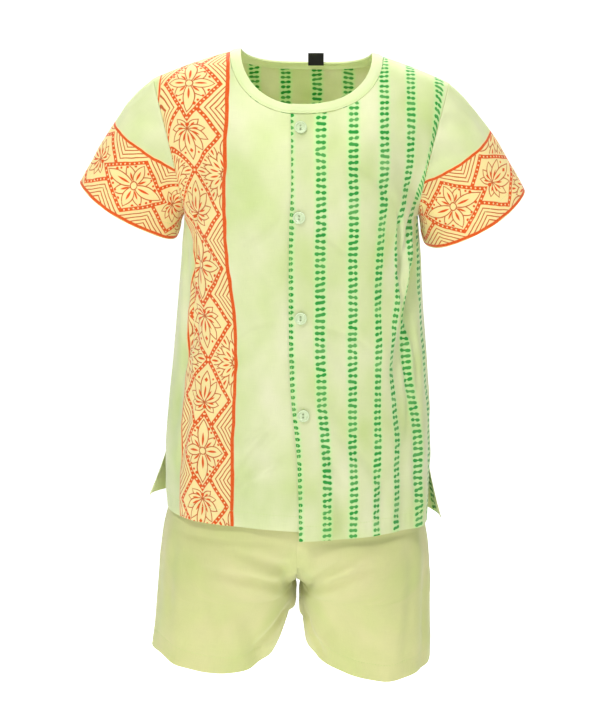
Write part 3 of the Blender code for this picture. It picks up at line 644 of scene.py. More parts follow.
def noise(tree, across, along, scale, detail=2.0):
    """Soft noise over the cloth, as one number and as three in a colour."""
    join = tree.nodes.new("ShaderNodeCombineXYZ")
    across.put(join.inputs[0])
    along.put(join.inputs[1])
    node = tree.nodes.new("ShaderNodeTexNoise")
    dial(node, Scale=scale, Detail=detail)
    tree.links.new(join.outputs[0], node.inputs["Vector"])
    return Term(tree, node.outputs[0]), Term(tree, node.outputs["Color"])


def split(tree, colour):
    node = tree.nodes.new("ShaderNodeSeparateColor")
    tree.links.new(colour.source, node.inputs[0])
    return [Term(tree, socket) for socket in node.outputs]


FINE = 0.5                  # half the width of a thin printed line
BEAD_PITCH = 4.4            # of the dots that frame the diamonds
BORDER_REPEAT = 172.0
PETAL_TURN = 0.5236         # between petals of a half rosette
STROKE_PITCH = 5.6
WARP_PITCH, WEFT_PITCH = 0.42, 0.46


def dot_at(across, along, at_across, at_along, radius):
    """Round printed spot."""
    x, y = across - at_across, along - at_along
    return ((x * x + y * y).root() - radius).ink()


def petal(ahead, beside, long, wide):
    """Signed distance to a pointed petal that starts at the middle."""
    share = (ahead / long).clamped()
    shape = share * (-share + 1.0) * (4.0 * wide)
    inside = abs(beside) - shape
    return inside.most(-ahead).most(ahead - long)


def rim(shape):
    """Thin printed line round a shape given by its signed distance."""
    return (abs(shape) - FINE).ink()


def turned(ahead, beside, degrees):
    """The same point seen along another direction."""
    c, s = math.cos(math.radians(degrees)), math.sin(math.radians(degrees))
    return ahead * c + beside * s, beside * c - ahead * s


def diamond_print():
    """Border of dotted diamonds with flowers, leaf fans and nested chevrons, in millimetres."""
    tree, (raw_across, raw_along, line_a, line_b), end = new_group(
        "diamond_border", ("Across", "Along", "Edge A", "Edge B"), ("Thick", "Fine", "Ground"))
    wobble = noise(tree, raw_across, raw_along, 0.055, 1.0)[1]
    wob_a, wob_b, _ = split(tree, wobble)
    across = raw_across + (wob_a - 0.5) * 2.2
    along = raw_along + (wob_b - 0.5) * 2.8
    a = abs(across)
    b = abs((along / BORDER_REPEAT + 0.5).part() * BORDER_REPEAT - BORDER_REPEAT / 2.0)
    # diamonds 25 or 26 mm to their side tips and 36 mm to the others, as signed distances
    flower = (a / 25.0 + b / 36.0 - 1.0) * 20.5
    fan_mid = abs(b - 50.0)
    fan = (a / 26.0 + fan_mid / 36.0 - 1.0) * 21.1

    def frame_of(distance, position):
        beads = ((position / BEAD_PITCH).part() - 0.5) * BEAD_PITCH
        bead = (beads * beads + distance * distance).root() - 0.78
        return (abs(distance) - 1.75).ink(0.4) * (-bead.ink(0.4) + 1.0)

    run_flower = (b * 36.0 - a * 25.0) / 43.8
    run_fan = (fan_mid * 36.0 - a * 26.0) / 44.4
    outside_flower = (-flower + 0.6).ink(0.4)
    thick = frame_of(flower, run_flower)
    thick = thick.most(frame_of(fan, run_fan) * outside_flower)
    # flower with eight petals
    tall = petal(b, a, 30.0, 5.4)
    broad = petal(a, b, 20.5, 5.0)
    slant_x, slant_y = turned(b, a, 44.0)
    slant = petal(slant_x, slant_y, 20.0, 4.2)
    front_petals = tall.least(broad)
    lines = rim(tall).most(rim(broad))
    lines = lines.most(rim(slant) * (-front_petals).ink())
    inner_tall = petal(b - 4.5, a, 13.0, 1.1).ink()
    inner_broad = petal(a - 4.5, b, 10.0, 1.1).ink()
    inner_slant = petal(slant_x - 4.5, slant_y, 8.5, 0.9).ink()
    vein = inner_tall.most(inner_broad).most(inner_slant)
    core = (a * a + b * b).root()
    lines = lines * (-core + 3.4).ink()
    lines = lines.most(rim(core - 3.4))
    spots = dot_at(a, b, 5.4, 21.5, 1.5).most(dot_at(a, b, 16.4, 7.6, 1.4))
    spots = spots.most(dot_at(a, b, 8.2, 18.2, 1.1)).most(dot_at(a, b, 12.0, 13.6, 1.2))
    in_flower = (flower + 2.2).ink(0.4)
    thick = thick.most(spots.most(vein) * in_flower)
    fine = lines * in_flower
    # fan of leaves in the next diamond
    ahead = b - 46.0
    hidden = None
    fan_lines = None
    drop = (a + abs(ahead + 4.0) * 0.7 - 2.0).ink()
    for lean, long, wide in ((0.0, 29.0, 4.6), (30.0, 23.0, 4.0), (62.0, 18.5, 3.8),
                             (96.0, 14.5, 3.4), (134.0, 13.0, 3.2)):
        x, y = turned(ahead, a, lean)
        leaf = petal(x, y, long, wide)
        outline = rim(leaf)
        if hidden is None:
            fan_lines, hidden = outline, leaf
        else:
            fan_lines = fan_lines.most(outline * (-hidden).ink())
            hidden = hidden.least(leaf)
        drop = drop.most(petal(x - 3.5, y, long * 0.42, 0.9).ink())
    drop = drop.most((a * 1.4 + abs(ahead - 20.5) - 2.4).ink())
    drop = drop.most(dot_at(a, b, 7.0, 68.0, 1.1))
    in_fan = (fan + 2.4).ink(0.4) * (-flower + 2.4).ink(0.4)
    thick = thick.most(drop * in_fan)
    fine = fine.most(fan_lines * in_fan)
    # nested chevrons beside the flower
    near = flower.least(fan)
    step = abs((near / 3.3).part() - 0.5) * 3.3
    chevron = (step - FINE).ink() * (-near + 2.9).ink(0.3)
    chevron = chevron * (b - 47.0).ink(0.3)
    # half rosettes where the diamonds meet
    ra, rb = -a + BAND_HALF, -b + BORDER_REPEAT / 2.0
    radius = (ra * ra + rb * rb).root()
    angle = ra.arc_tangent(rb)
    local = ((angle / PETAL_TURN).part() - 0.5) * PETAL_TURN
    out_way, off_way = radius * local.cosine(), radius * local.sine()
    rosette = rim(petal(out_way - 3.6, off_way, 17.5, 3.6))
    rosette = rosette.most(rim(radius - 3.4))
    late = ((angle / PETAL_TURN + 0.5).part() - 0.5) * PETAL_TURN
    far_way, far_off = radius * late.cosine(), radius * late.sine()
    rosette = rosette.most(rim(petal(far_way - 14.0, far_off, 21.0, 4.0)))
    rosette = rosette * (-radius + 2.8).ink()
    heart = petal(out_way - 6.5, off_way, 8.0, 0.9).ink()
    heart = heart.most(petal(far_way - 19.0, far_off, 9.0, 1.0).ink()).most((radius - 1.5).ink())
    in_corner = (-fan + 2.8).ink(0.4) * (-b + 47.0).ink(0.3)
    thick = thick.most(heart * in_corner)
    fine = fine.most(chevron).most(rosette * in_corner)
    inside = (a - BAND_HALF + 1.2).ink(0.3)
    thick = thick * inside
    fine = fine * inside
    edge_a = (abs(across - BAND_HALF) - line_a).ink(0.4)
    edge_b = (abs(across + BAND_HALF) - line_b).ink(0.4)
    thick = thick.most(edge_a).most(edge_b)
    ground = (a - BAND_HALF - 1.9).ink(0.9)
    patch = noise(tree, raw_across, raw_along, 0.5, 3.0)[0]
    full = ((patch * 1.6) - 0.05).clamped()
    (thick * (full * 0.2 + 0.84)).clamped().put(end.inputs["Thick"])
    (fine * (full * 0.3 + 0.74)).clamped().put(end.inputs["Fine"])
    ground.put(end.inputs["Ground"])
    return tree


def chance(tree, *values):
    """Three numbers that stay the same for one set of values."""
    join = tree.nodes.new("ShaderNodeCombineXYZ")
    for value, socket in zip(values, join.inputs):
        value.put(socket)
    node = tree.nodes.new("ShaderNodeTexWhiteNoise")
    node.noise_dimensions = "3D"
    tree.links.new(join.outputs[0], node.inputs["Vector"])
    return split(tree, Term(tree, node.outputs["Color"]))


def stroke_print():
    """Columns of short paired brush strokes, in millimetres."""
    tree, (raw_across, along), end = new_group("stroke_columns", ("Across", "Along"),
                                               ("Green", "Halo"))
    drift = noise(tree, raw_across * 0.4, along, 0.02, 1.0)[0]
    across = raw_across + (drift - 0.5) * 2.4
    lane = ((across - STRIPE_FIRST) / STRIPE_PITCH + 0.5).floor()
    x = across - STRIPE_FIRST - lane * STRIPE_PITCH
    row = along / STROKE_PITCH + (lane * 0.37).part()
    count = row.floor()
    y = (row - count - 0.5) * STROKE_PITCH
    side = x.sign()
    r1, r2, r3 = chance(tree, lane, count, side)
    q1, q2, q3 = chance(tree, lane, count, Term(tree, 7.0))
    y = y + x * ((q1 - 0.5) * 0.42)
    px = abs(x) - (r1 * 0.5 + 2.3)
    py = y - (r2 - 0.5) * 0.7
    lean = (r3 - 0.45) * 0.6
    qx = px + py * lean
    qy = py - px * lean
    blob = ((qx / 2.2) * (qx / 2.2) + (qy / 1.72) * (qy / 1.72)).root() - 1.0
    neck = (abs(y) - (q2 * 1.1 + 0.4)).most(abs(x) - 2.2)
    grain = noise(tree, raw_across, along, 0.9, 3.0)[0]
    shape = (blob * 1.9).least(neck) + (grain - 0.5) * 1.1
    green = shape.ink(0.4)
    faint = noise(tree, raw_across * 0.5, along, 0.06, 2.0)[0]
    strength = ((faint * 1.4) + (q3 * 0.4) - 0.2).clamped() * 0.36 + 0.68
    (green * strength).clamped().put(end.inputs["Green"])
    near = ((-shape + 2.0) / 1.6).clamped() * 0.62
    band = ((-abs(x) + 7.6) / 3.4).clamped() * 0.3
    near.most(band).put(end.inputs["Halo"])
    return tree


def plain_weave():
    """Fine cotton threads with slubs: a height, and a small change of tone."""
    tree, (across, along), end = new_group("plain_weave", ("Across", "Along"),
                                           ("Height", "Tone", "Drift"))
    warp = (across * (2.0 * math.pi / WARP_PITCH)).sine()
    weft = (along * (2.0 * math.pi / WEFT_PITCH)).sine()
    slub_a = noise(tree, across * 2.6, along * 0.10, 1.0, 3.0)[0]
    slub_b = noise(tree, across * 0.09, along * 2.4, 1.0, 3.0)[0]
    cloud = noise(tree, across, along, 0.03, 3.0)[0]
    drift = noise(tree, across * 1.3, along, 0.014, 2.5)[0]
    ((drift - 0.5) * 2.4 + 0.5).clamped().put(end.inputs["Drift"])
    (warp * weft * 0.25 + slub_a * 0.8 + slub_b * 0.8).put(end.inputs["Height"])
    ((slub_a + slub_b - 1.0) * 0.10 + (cloud - 0.5) * 0.10 + 1.0).put(end.inputs["Tone"])
    return tree


GROUPS = {"border": diamond_print(), "strokes": stroke_print(), "weave": plain_weave()}


def linear(red, green, blue):
    """Colour for Blender from screen values up to 255."""
    values = []
    for value in (red, green, blue):
        share = value / 255.0
        values.append(share / 12.92 if share <= 0.04045 else ((share + 0.055) / 1.055) ** 2.4)
    return tuple(values) + (1.0,)


# each cloth has a cream and a green tone, which drift over it
BASE = (linear(230, 231, 197), linear(205, 219, 152))
SHORTS = (linear(218, 214, 162), linear(204, 211, 142))
BINDING = (linear(228, 234, 192), linear(218, 230, 174))
CREAM = linear(246, 228, 164)
ORANGE = linear(222, 86, 8)
RUST = linear(194, 84, 18)
GREEN = linear(42, 158, 62)
MINT = linear(192, 240, 160)


def mixed(tree, factor, first, second):
    """Colour between two colours."""
    node = tree.nodes.new("ShaderNodeMix")
    node.data_type = "RGBA"
    factor.put(node.inputs[0])
    for socket, value in ((node.inputs[6], first), (node.inputs[7], second)):
        if hasattr(value, "is_linked"):
            tree.links.new(value, socket)
        else:
            socket.default_value = value
    return node.outputs[2]


def use_group(tree, kind, **values):
    """Puts one of the GROUPS into a material and gives its outputs by name."""
    node = tree.nodes.new("ShaderNodeGroup")
    node.node_tree = GROUPS[kind]
    for label, value in values.items():
        socket = node.inputs[label.replace("_", " ")]
        if isinstance(value, Term):
            value.put(socket)
        else:
            socket.default_value = value
    return {socket.name: Term(tree, socket) for socket in node.outputs}


def new_material(name):
    material = bpy.data.materials.new(name)
    material.use_nodes = True
    return material, material.node_tree, material.node_tree.nodes["Principled BSDF"]


def cloth_material(name, base, strokes=False, border=None, start=0.0):
    """Cotton cloth; border is (axis, middle, edge A, edge B) for the printed diamonds."""
    material, tree, shader = new_material(name)
    out = tree.nodes["Material Output"]
    place = tree.nodes.new("ShaderNodeUVMap")
    place.uv_map = "cloth"
    parts = tree.nodes.new("ShaderNodeSeparateXYZ")
    tree.links.new(place.outputs[0], parts.inputs[0])
    across = Term(tree, parts.outputs[0]) * 1000.0
    along = Term(tree, parts.outputs[1]) * 1000.0
    weave = use_group(tree, "weave", Across=across, Along=along)
    colour = mixed(tree, weave["Drift"], base[0], base[1])
    if border:
        axis, middle, edge_a, edge_b = border
        side, run = (across, along) if axis == "across" else (along, across)
        marks = use_group(tree, "border", Across=side - middle, Along=run + start,
                          Edge_A=edge_a, Edge_B=edge_b)
        colour = mixed(tree, marks["Ground"] * 0.92, colour, CREAM)
        colour = mixed(tree, marks["Fine"], colour, RUST)
        colour = mixed(tree, marks["Thick"], colour, ORANGE)
    if strokes:
        marks = use_group(tree, "strokes", Across=across, Along=along)
        inside = (across + PLAIN_EDGE).clamped()
        colour = mixed(tree, marks["Halo"] * inside, colour, MINT)
        colour = mixed(tree, marks["Green"] * inside, colour, GREEN)
    tone = tree.nodes.new("ShaderNodeHueSaturation")
    weave["Tone"].put(tone.inputs["Value"])
    tree.links.new(colour, tone.inputs["Color"])
    bump = tree.nodes.new("ShaderNodeBump")
    dial(bump, Strength=0.35, Distance=0.12 * MM)
    weave["Height"].put(bump.inputs["Height"])
    tree.links.new(bump.outputs[0], shader.inputs["Normal"])
    tree.links.new(tone.outputs[0], shader.inputs["Base Color"])
    dial(shader, Roughness=0.86, Specular_IOR_Level=0.25, Sheen_Weight=0.3, Sheen_Roughness=0.5)
    glow = tree.nodes.new("ShaderNodeBsdfTranslucent")
    tree.links.new(tone.outputs[0], glow.inputs["Color"])
    tree.links.new(bump.outputs[0], glow.inputs["Normal"])
    blend = tree.nodes.new("ShaderNodeMixShader")
    blend.inputs[0].default_value = SHINE_THROUGH
    tree.links.new(shader.outputs[0], blend.inputs[1])
    tree.links.new(glow.outputs[0], blend.inputs[2])
    tree.links.new(blend.outputs[0], out.inputs["Surface"])
    return material


def simple_material(name, colour, roughness, speck, scale=900.0):
    """Plain colour with small specks in its tone and height."""
    material, tree, shader = new_material(name)
    place = tree.nodes.new("ShaderNodeTexCoord")
    node = tree.nodes.new("ShaderNodeTexNoise")
    dial(node, Scale=scale, Detail=3.0)
    tree.links.new(place.outputs["Object"], node.inputs["Vector"])
    tone = tree.nodes.new("ShaderNodeHueSaturation")
    dial(tone, Color=colour)
    value = (Term(tree, node.outputs[0]) - 0.5) * speck + 1.0
    value.put(tone.inputs["Value"])
    tree.links.new(tone.outputs[0], shader.inputs["Base Color"])
    bump = tree.nodes.new("ShaderNodeBump")
    dial(bump, Strength=0.25, Distance=0.05 * MM)
    tree.links.new(node.outputs[0], bump.inputs["Height"])
    tree.links.new(bump.outputs[0], shader.inputs["Normal"])
    dial(shader, Roughness=roughness)
    return material


FRONT_RIGHT_CLOTH = cloth_material("lime_cotton_right_front", BASE,
                                   border=("across", FRONT_BAND_AT, 1.7, 0.9), start=36.5)
STRIPED_CLOTH = cloth_material("lime_cotton_strokes", BASE, strokes=True)
SLEEVE_CLOTHS = {word: cloth_material("lime_cotton_sleeve_" + word, BASE,
                                      border=("along", SLEEVE_BAND_AT, 1.2, 1.3), start=start)
                 for word, start in (("right", 62.0), ("left", 84.0))}
BINDING_CLOTH = cloth_material("lime_cotton_binding", BINDING)
SHORTS_CLOTH = cloth_material("lime_cotton_shorts", SHORTS)
THREAD = simple_material("sewing_thread", linear(206, 222, 150), 0.7, 0.2)
BUTTON = simple_material("pale_green_button", linear(184, 200, 160), 0.32, 0.05, 400.0)
BUTTON_THREAD = simple_material("button_thread", linear(168, 184, 144), 0.8, 0.2)
dial(BUTTON.node_tree.nodes["Principled BSDF"], Coat_Weight=0.3)
BLACK = simple_material("black_label_cloth", linear(20, 20, 20), 0.8, 0.6, 1800.0)


# Cloth pieces.
built = {}


def add_piece(piece, node, material):
    """Dresses a piece that stands for one of the solids."""
    piece.data.materials.append(material)
    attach(piece, "root")
    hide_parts(node)


def add_cloth(key, node, slot, material, points, shift, flat, wall, outward, flat_edges=(),
              **measures):
    """Makes a cloth piece and keeps it, with its outer points and ways out, for the sewing."""
    piece, outer, normals = cloth_sheet(node + "_cloth", points, shift, wall, outward, flat,
                                        flat_edges)
    add_piece(piece, node, material)
    built[key] = {"outer": outer, "normals": normals, "piece": piece, **measures}


def from_middle(section, place, level, panel):
    """Distance from the middle along a level section of the shirt."""
    share = np.linspace(0.0, 1.0, 25)
    way = section(place[..., None] * share, level[..., None], panel)[..., :2]
    return np.sign(place) * np.linalg.norm(np.diff(way, axis=-2), axis=-1).sum(axis=-1)


def on_grain(points, table, cut):
    """Where each point was on the flat cloth, across it, from a table of grain lines."""
    knots = [softened(table, k + 1, 7.0)(points[:, :, 2]) for k in range(len(cut))]
    x = points[:, :, 0]
    sign = 1.0 if cut[-1] > 0.0 else -1.0
    first = sign * (x - knots[0]) <= 0.0
    result = np.where(first, cut[0] + x - knots[0], 0.0)
    for k in range(len(cut) - 1):
        low, high = knots[k], knots[k + 1]
        share = sign * (x - low) / np.maximum(sign * (high - low), 0.5)
        last = k == len(cut) - 2
        here = (share > 0.0) & (last | (share <= 1.0)) & ~first
        result = np.where(here, cut[k] + share * (cut[k + 1] - cut[k]), result)
    return result


def round_the_side(points, across, turn_x, turn_cut):
    """Carries the print on round the side by the cloth's own length, past x = turn_x."""
    run = lengths(points, 0)
    x = points[:, :, 0]
    rows = np.arange(x.shape[1])
    past = x > turn_x
    stop = np.maximum(np.argmax(past, axis=0), 1)
    step = np.maximum(x[stop, rows] - x[stop - 1, rows], 1e-6)
    share = np.clip((turn_x - x[stop - 1, rows]) / step, 0.0, 1.0)
    at = run[stop - 1, rows] + share * (run[stop, rows] - run[stop - 1, rows])
    at = np.where(past.any(axis=0), at, run[-1])
    near = np.ones(SIDE_ROWS) / SIDE_ROWS
    at = np.convolve(np.pad(at, SIDE_ROWS // 2, mode="edge"), near, mode="valid")
    return np.where(run > at, turn_cut + run - at, across)


def body_flat(points, place, reach, low_rows, cut):
    """Flat cloth position: across from the front or back middle, along from the underarm."""
    along = lengths(points, 1)
    along -= along[:, low_rows:low_rows + 1]
    if cut == "back":
        low = from_middle(lower_point, place[:, :low_rows], points[:, :low_rows, 2], "back")
        high = from_middle(upper_point, place[:, low_rows:], reach, "back")
        across = np.concatenate((low, high), axis=1) + BACK_SHIFT
    elif cut == "front_left":
        across = round_the_side(points, on_grain(points, GRAIN_LEFT, GRAIN_LEFT_CUT),
                                softened(GRAIN_LEFT, len(GRAIN_LEFT_CUT) - 1, 7.0)(points[0, :, 2]),
                                GRAIN_LEFT_CUT[-2])
    else:
        across = on_grain(points, GRAIN_RIGHT, GRAIN_RIGHT_CUT)
    return np.stack((across, along), -1)


PANELS = {
    "front_left": (LAP_PLACE, 1.0, FRONT_ACROSS, STRIPED_CLOTH),
    "front_right": (-1.0, UNDER_PLACE, FRONT_ACROSS, FRONT_RIGHT_CLOTH),
    "back": (-1.0, 1.0, BACK_ACROSS, STRIPED_CLOTH),
}
for cut, (first, last, count, material) in PANELS.items():
    places = np.linspace(first, last, count)
    points, shift, place, reach, hem_gap = body_grid(cut, places, LOW_ROWS, HIGH_ROWS)
    flat_edges = []
    if cut != "front_right":
        flat_edges.append((slice(-1, None), slice(0, LOW_ROWS + 1)))
    if cut != "front_left":
        flat_edges.append((slice(0, 1), slice(0, LOW_ROWS + 1)))
    shoulder = np.where(neck_reach(places, "back" if cut == "back" else "front") > 0.9999)[0]
    for side in (shoulder[places[shoulder] > 0.0], shoulder[places[shoulder] < 0.0]):
        if len(side):
            flat_edges.append((slice(side[0], side[-1] + 1), slice(-1, None)))
    add_cloth(cut, "shirt_" + cut, "shirt_cloth", material, points, shift,
              body_flat(points, place, reach, LOW_ROWS, cut), hem_wall(hem_gap, SHIRT_HEM),
              BODY_MIDDLE, flat_edges, form=points, hem_gap=hem_gap)


def sleeve_grid(spec, around, along):
    """Tube from the armhole to the sleeve's hem, split at the underarm."""
    side = spec["side"]
    outer = np.array([spec["outer"][0], 0.0, spec["outer"][1]])
    inner = np.array([spec["inner"][0], 0.0, spec["inner"][1]])
    centre = (outer + inner) / 2.0
    long_axis = (outer - inner) / 2.0
    unit = long_axis / np.linalg.norm(long_axis)
    down = np.array([side * abs(unit[2]), 0.0, -abs(unit[0])])
    trim = 0.5 * SEAM_GAP / ARMHOLE_DEPTH
    turn = np.linspace(-np.pi + trim, np.pi - trim, around + 1)[:, None]
    s = np.linspace(0.0, 1.0, along + 1)[None, :]
    reach = 0.5 + 0.5 * np.cos(turn)
    half = UNDERARM_X + (SHOULDER_X - UNDERARM_X) * reach ** SHOULDER_SPREAD
    start = np.stack(np.broadcast_arrays(
        side * half, ARMHOLE_DEPTH * np.sin(turn),
        UNDERARM_Z + (SHOULDER_Z - UNDERARM_Z) * reach - SHOULDER_TILT * side * half * reach), -1)
    slope = np.radians(34.0 + 22.0 * (1.0 - reach))
    leave = np.stack((side * np.cos(slope), 0.0 * slope, -np.sin(slope)), -1)
    start = start + leave * SLEEVE_START
    front = np.maximum(-np.sin(turn), 0.0)[:, :, None]
    end = centre + long_axis * np.cos(turn)[:, :, None] + down * spec["front_drop"] * front
    end[:, :, 1] = spec["depth"] * np.sin(turn)
    span = np.linalg.norm(end - start, axis=2, keepdims=True)
    first = start + leave * span * spec["round"]
    second = end - down * span * 0.38
    t = s[:, :, None]
    r = 1.0 - t
    points = (start * r ** 3 + first * 3.0 * r * r * t + second * 3.0 * r * t * t + end * t ** 3)
    wave = np.sin(3.0 * turn + 0.8 * side) + 0.7 * np.sin(5.0 * turn + 1.7)
    shift = 1.3 * wave * smooth((s - 0.15) / 0.6) * (0.5 + 0.5 * np.cos(turn)) ** 0.3
    degrees = np.degrees(turn) + 0.0 * s
    small = np.zeros_like(degrees)
    for t0, s0, t1, s1, width, depth in SLEEVE_CREASES[side]:
        small += crease(degrees, s * 100.0 + 0.0 * degrees,
                        (t0, s0 * 100.0, t1, s1 * 100.0, 3.0, width, depth))
    across = lengths(points, 0)
    across -= across[around // 2:around // 2 + 1, :]
    along_gap = lengths(points, 1)
    hem_gap = along_gap[:, -1:] - along_gap
    small += 0.8 * ripple(across, hem_gap, 1.0 + side)
    calm = smooth(s / 0.06) * smooth((np.pi - np.abs(turn)) / 0.25)
    shift = shift + small * calm
    shift = hem_marks(shift, np.sin(across * 2.0 * np.pi / 6.0), hem_gap,
                      (0.16, 9.0, 6.0), (0.22, SLEEVE_HEM, 1.3))
    # half of the print's scale round the sleeve is taken along the hem
    return points, shift, np.stack((0.5 * (across[:, -1:] + across), hem_gap), -1), hem_gap


for spec, word in ((SLEEVE_RIGHT, "right"), (SLEEVE_LEFT, "left")):
    points, shift, flat, hem_gap = sleeve_grid(spec, *SLEEVE_GRID)
    name = "sleeve_" + word
    add_cloth(name, name, "shirt_cloth", SLEEVE_CLOTHS[word], points, shift, flat,
              hem_wall(hem_gap, SLEEVE_HEM), (spec["side"] * 140.0, 0.0, -110.0),
              hem_gap=hem_gap)


def binding_grid(count, cross):
    """Strip round the neck, from under the left front round the back to its end on top."""
    turns = np.linspace(UNDER_END, -360.0 - OVER_END, count + 1)
    second_half = np.arange(count + 1) > 0.5 * count
    turn = np.radians(turns + 360.0 * second_half)[:, None]
    across = np.linspace(0.0, 1.0, cross + 1)[None, :]
    edge = 0.04 + 0.96 * across
    points = np.zeros((count + 1, cross + 1, 3))
    for panel, deep, pick in (("front", NECK_FRONT, np.cos(turn) > 0.0),
                              ("back", NECK_BACK, np.cos(turn) <= 0.0)):
        sine = np.sin(turn)
        seam = np.where(sine > 0.0, neck_place(NECK_X_LEFT[0]), neck_place(NECK_X_RIGHT[0]))
        opening = np.where(sine > 0.0, neck_place(NECK_X_LEFT[1]), neck_place(NECK_X_RIGHT[1]))
        place = (seam + (opening - seam) * edge) * sine
        begin = deep[0] + (deep[1] - deep[0]) * edge
        reach = 1.0 - (1.0 - begin) * np.abs(np.cos(turn))
        found = upper_point(place, reach, panel)
        points = np.where(pick[:, :, None], found, points)
    bulge = np.sin(np.pi * across) ** 0.7
    shift = 0.35 + 0.75 * bulge + 0.0 * turn
    seam_line = lengths(points, 0)[:, :1]
    shift = shift + 0.10 * np.sin(seam_line / 4.2) * bulge
    shift = shift - 0.35 * np.exp(-((across - 0.16) / 0.05) ** 2)
    over = (BINDING_WALL + 0.6) * smooth((33.0 - np.degrees(turn)) / 18.0)
    shift = shift + over * second_half[:, None]
    return points, shift, laid_flat(points)


add_cloth("binding", "neck_binding", "binding_cloth", BINDING_CLOTH,
          *binding_grid(*BINDING_GRID), BINDING_WALL, BODY_MIDDLE)
bind_outer, bind_normals = built["binding"]["outer"], built["binding"]["normals"]


def rise_share(height):
    """How much of the round of a leg is left open at the middle seam: 1 below the crotch."""
    up = np.clip((height - CROTCH_Z) / RISE_CURVE, 0.0, 1.0)
    share = fullness(np.sqrt(np.clip(1.0 - (1.0 - up) ** 2, 0.0, 1.0)))
    return np.where(height < CROTCH_Z, 1.0, share)


def round_leg(place, height):
    """Way round the leg, 0 at its inner side and 1 at its outer, at a place on the panel."""
    begin = np.arccos(np.clip(rise_share(height), 0.0, 1.0)) / np.pi
    return begin + (1.0 - begin) * place


def shorts_grid(spec, panel, across_rows, low_rows, high_rows):
    """Front or back of one leg, from the hem past the crotch to the waistband."""
    side = spec["side"]
    place = np.linspace(0.0, 1.0, across_rows + 1)[:, None]
    hem_rows = [(100.0 * row[0], row[1 if panel == "front" else 2]) for row in spec["hem"]]
    hem = softened(hem_rows, 1, 2.5)(100.0 * place)
    low_share = (np.arange(low_rows) / low_rows)[None, :]
    high_share = (np.arange(high_rows + 1) / high_rows)[None, :] ** 1.35
    high = CROTCH_Z + (SHORTS_TOP_Z - CROTCH_Z) * high_share + 0.0 * place
    height = np.concatenate((hem + (CROTCH_Z - hem) * low_share, high), axis=1)
    out = SHORTS_OUT[side](height)
    down = np.maximum(CROTCH_Z - height, 0.0) / LEG_DROP
    inner = MIDDLE_X + side * 0.5 * SEAM_GAP
    levels = np.linspace(0.0, 1.6, 81)
    spread = [(CROTCH_Z - LEG_DROP * part, (spec["inner"] - MIDDLE_X) * part ** spec["bend"])
              for part in levels]
    spread.append((CROTCH_Z + 60.0, 0.0))
    exact = (spec["inner"] - MIDDLE_X) * down ** spec["bend"]
    # away from the inner seam the leg parts without a kink at the crotch
    gentle = softened(spread, 1, 11.0)(height)
    inner = inner + exact + (gentle - exact) * smooth(place / 0.22)
    # the round of the leg is cut off at the middle seam, above the crotch
    cut_off = rise_share(height)
    middle = inner + (out - inner) * cut_off / (1.0 + cut_off)
    half = np.abs(out - middle)
    turn = round_leg(place, height)
    angle = np.pi * turn
    depth = SHORTS_DEPTH[panel](height)
    y = WAY[panel] * depth * fullness(np.cos(angle))
    x = middle - side * half * np.cos(angle)
    if panel == "back":
        apart = sum(abs(leg["inner"] - MIDDLE_X) * down ** leg["bend"]
                    for leg in (LEG_RIGHT, LEG_LEFT))
        lean = np.clip(np.maximum(apart - LEAN_CLEAR, 0.0) / LEAN_REACH, 0.0, 1.0) ** LEAN_BEND
        gentle_lean = smooth((CROTCH_Z + 12.0 - height) / 50.0)
        lean = lean + (gentle_lean - lean) * smooth(turn / 0.35)
        x = x + spec["lean"] * lean * (y / depth) * (0.5 + 0.5 * np.cos(angle))
    points = np.stack((x, y, height), -1)
    total = np.zeros_like(height)
    for top_at, low_at, top_z, width, deep in SHORTS_FOLDS[side, panel]:
        along = (top_z - height) / (top_z - hem)
        first = round_leg(top_at, top_z)
        centre = first + (round_leg(low_at, hem) - first) * along
        total -= deep * smooth(along * 1.4) * np.exp(-((turn - centre) / (0.8 * width)) ** 2)
    small = np.zeros_like(height)
    for p0, z0, p1, z1, width, deep in SHORTS_CREASES[side, panel]:
        start, stop = LEG_ROUND * round_leg(p0, z0), LEG_ROUND * round_leg(p1, z1)
        small += crease(turn * LEG_ROUND, height,
                        (start, z0, stop, z1, 3.0 * side, width * 110.0, deep))
    small += ripple(turn * LEG_ROUND, height, 3.0 + side) * smooth((-440.0 - height) / 30.0)
    edge = smooth(np.minimum(place, 1.0 - place) / 0.12)
    tight = smooth(np.minimum(place, 1.0 - place) / 0.04)
    shown = smooth((-436.0 - height) / 14.0)
    shift = total * edge + small * tight * shown
    valley = smooth((-428.0 - height) / 40.0) * smooth((height - CROTCH_Z + 14.0) / 20.0)
    shift -= VALLEY_DEPTH * valley * np.exp(-(place * LEG_ROUND / VALLEY_WIDTH) ** 2)
    hem_gap = height - hem
    shift = hem_marks(shift, np.sin(place * LEG_ROUND), hem_gap,
                      (0.18, 10.0, 7.0), (0.25, SHORTS_HEM, 1.4))
    points[:, :, 1] += 0.5 * SEAM_GAP * WAY[panel]
    return points, shift, laid_flat(points), hem_gap


for spec, word in ((LEG_RIGHT, "right"), (LEG_LEFT, "left")):
    for panel in ("front", "back"):
        points, shift, flat, hem_gap = shorts_grid(spec, panel, LEG_ACROSS, LEG_LOW, LEG_HIGH)
        name = "shorts_" + panel + "_" + word
        add_cloth(name, name, "shorts_cloth", SHORTS_CLOTH, points, shift, flat,
                  hem_wall(hem_gap, SHORTS_HEM, 0.5), (spec["side"] * 60.0, 0.0, -500.0),
                  ((slice(-1, None), slice(None)), (slice(0, 1), slice(0, LEG_LOW + 1)),
                   (slice(0, 1), slice(LEG_LOW, None), 0)), hem_gap=hem_gap)


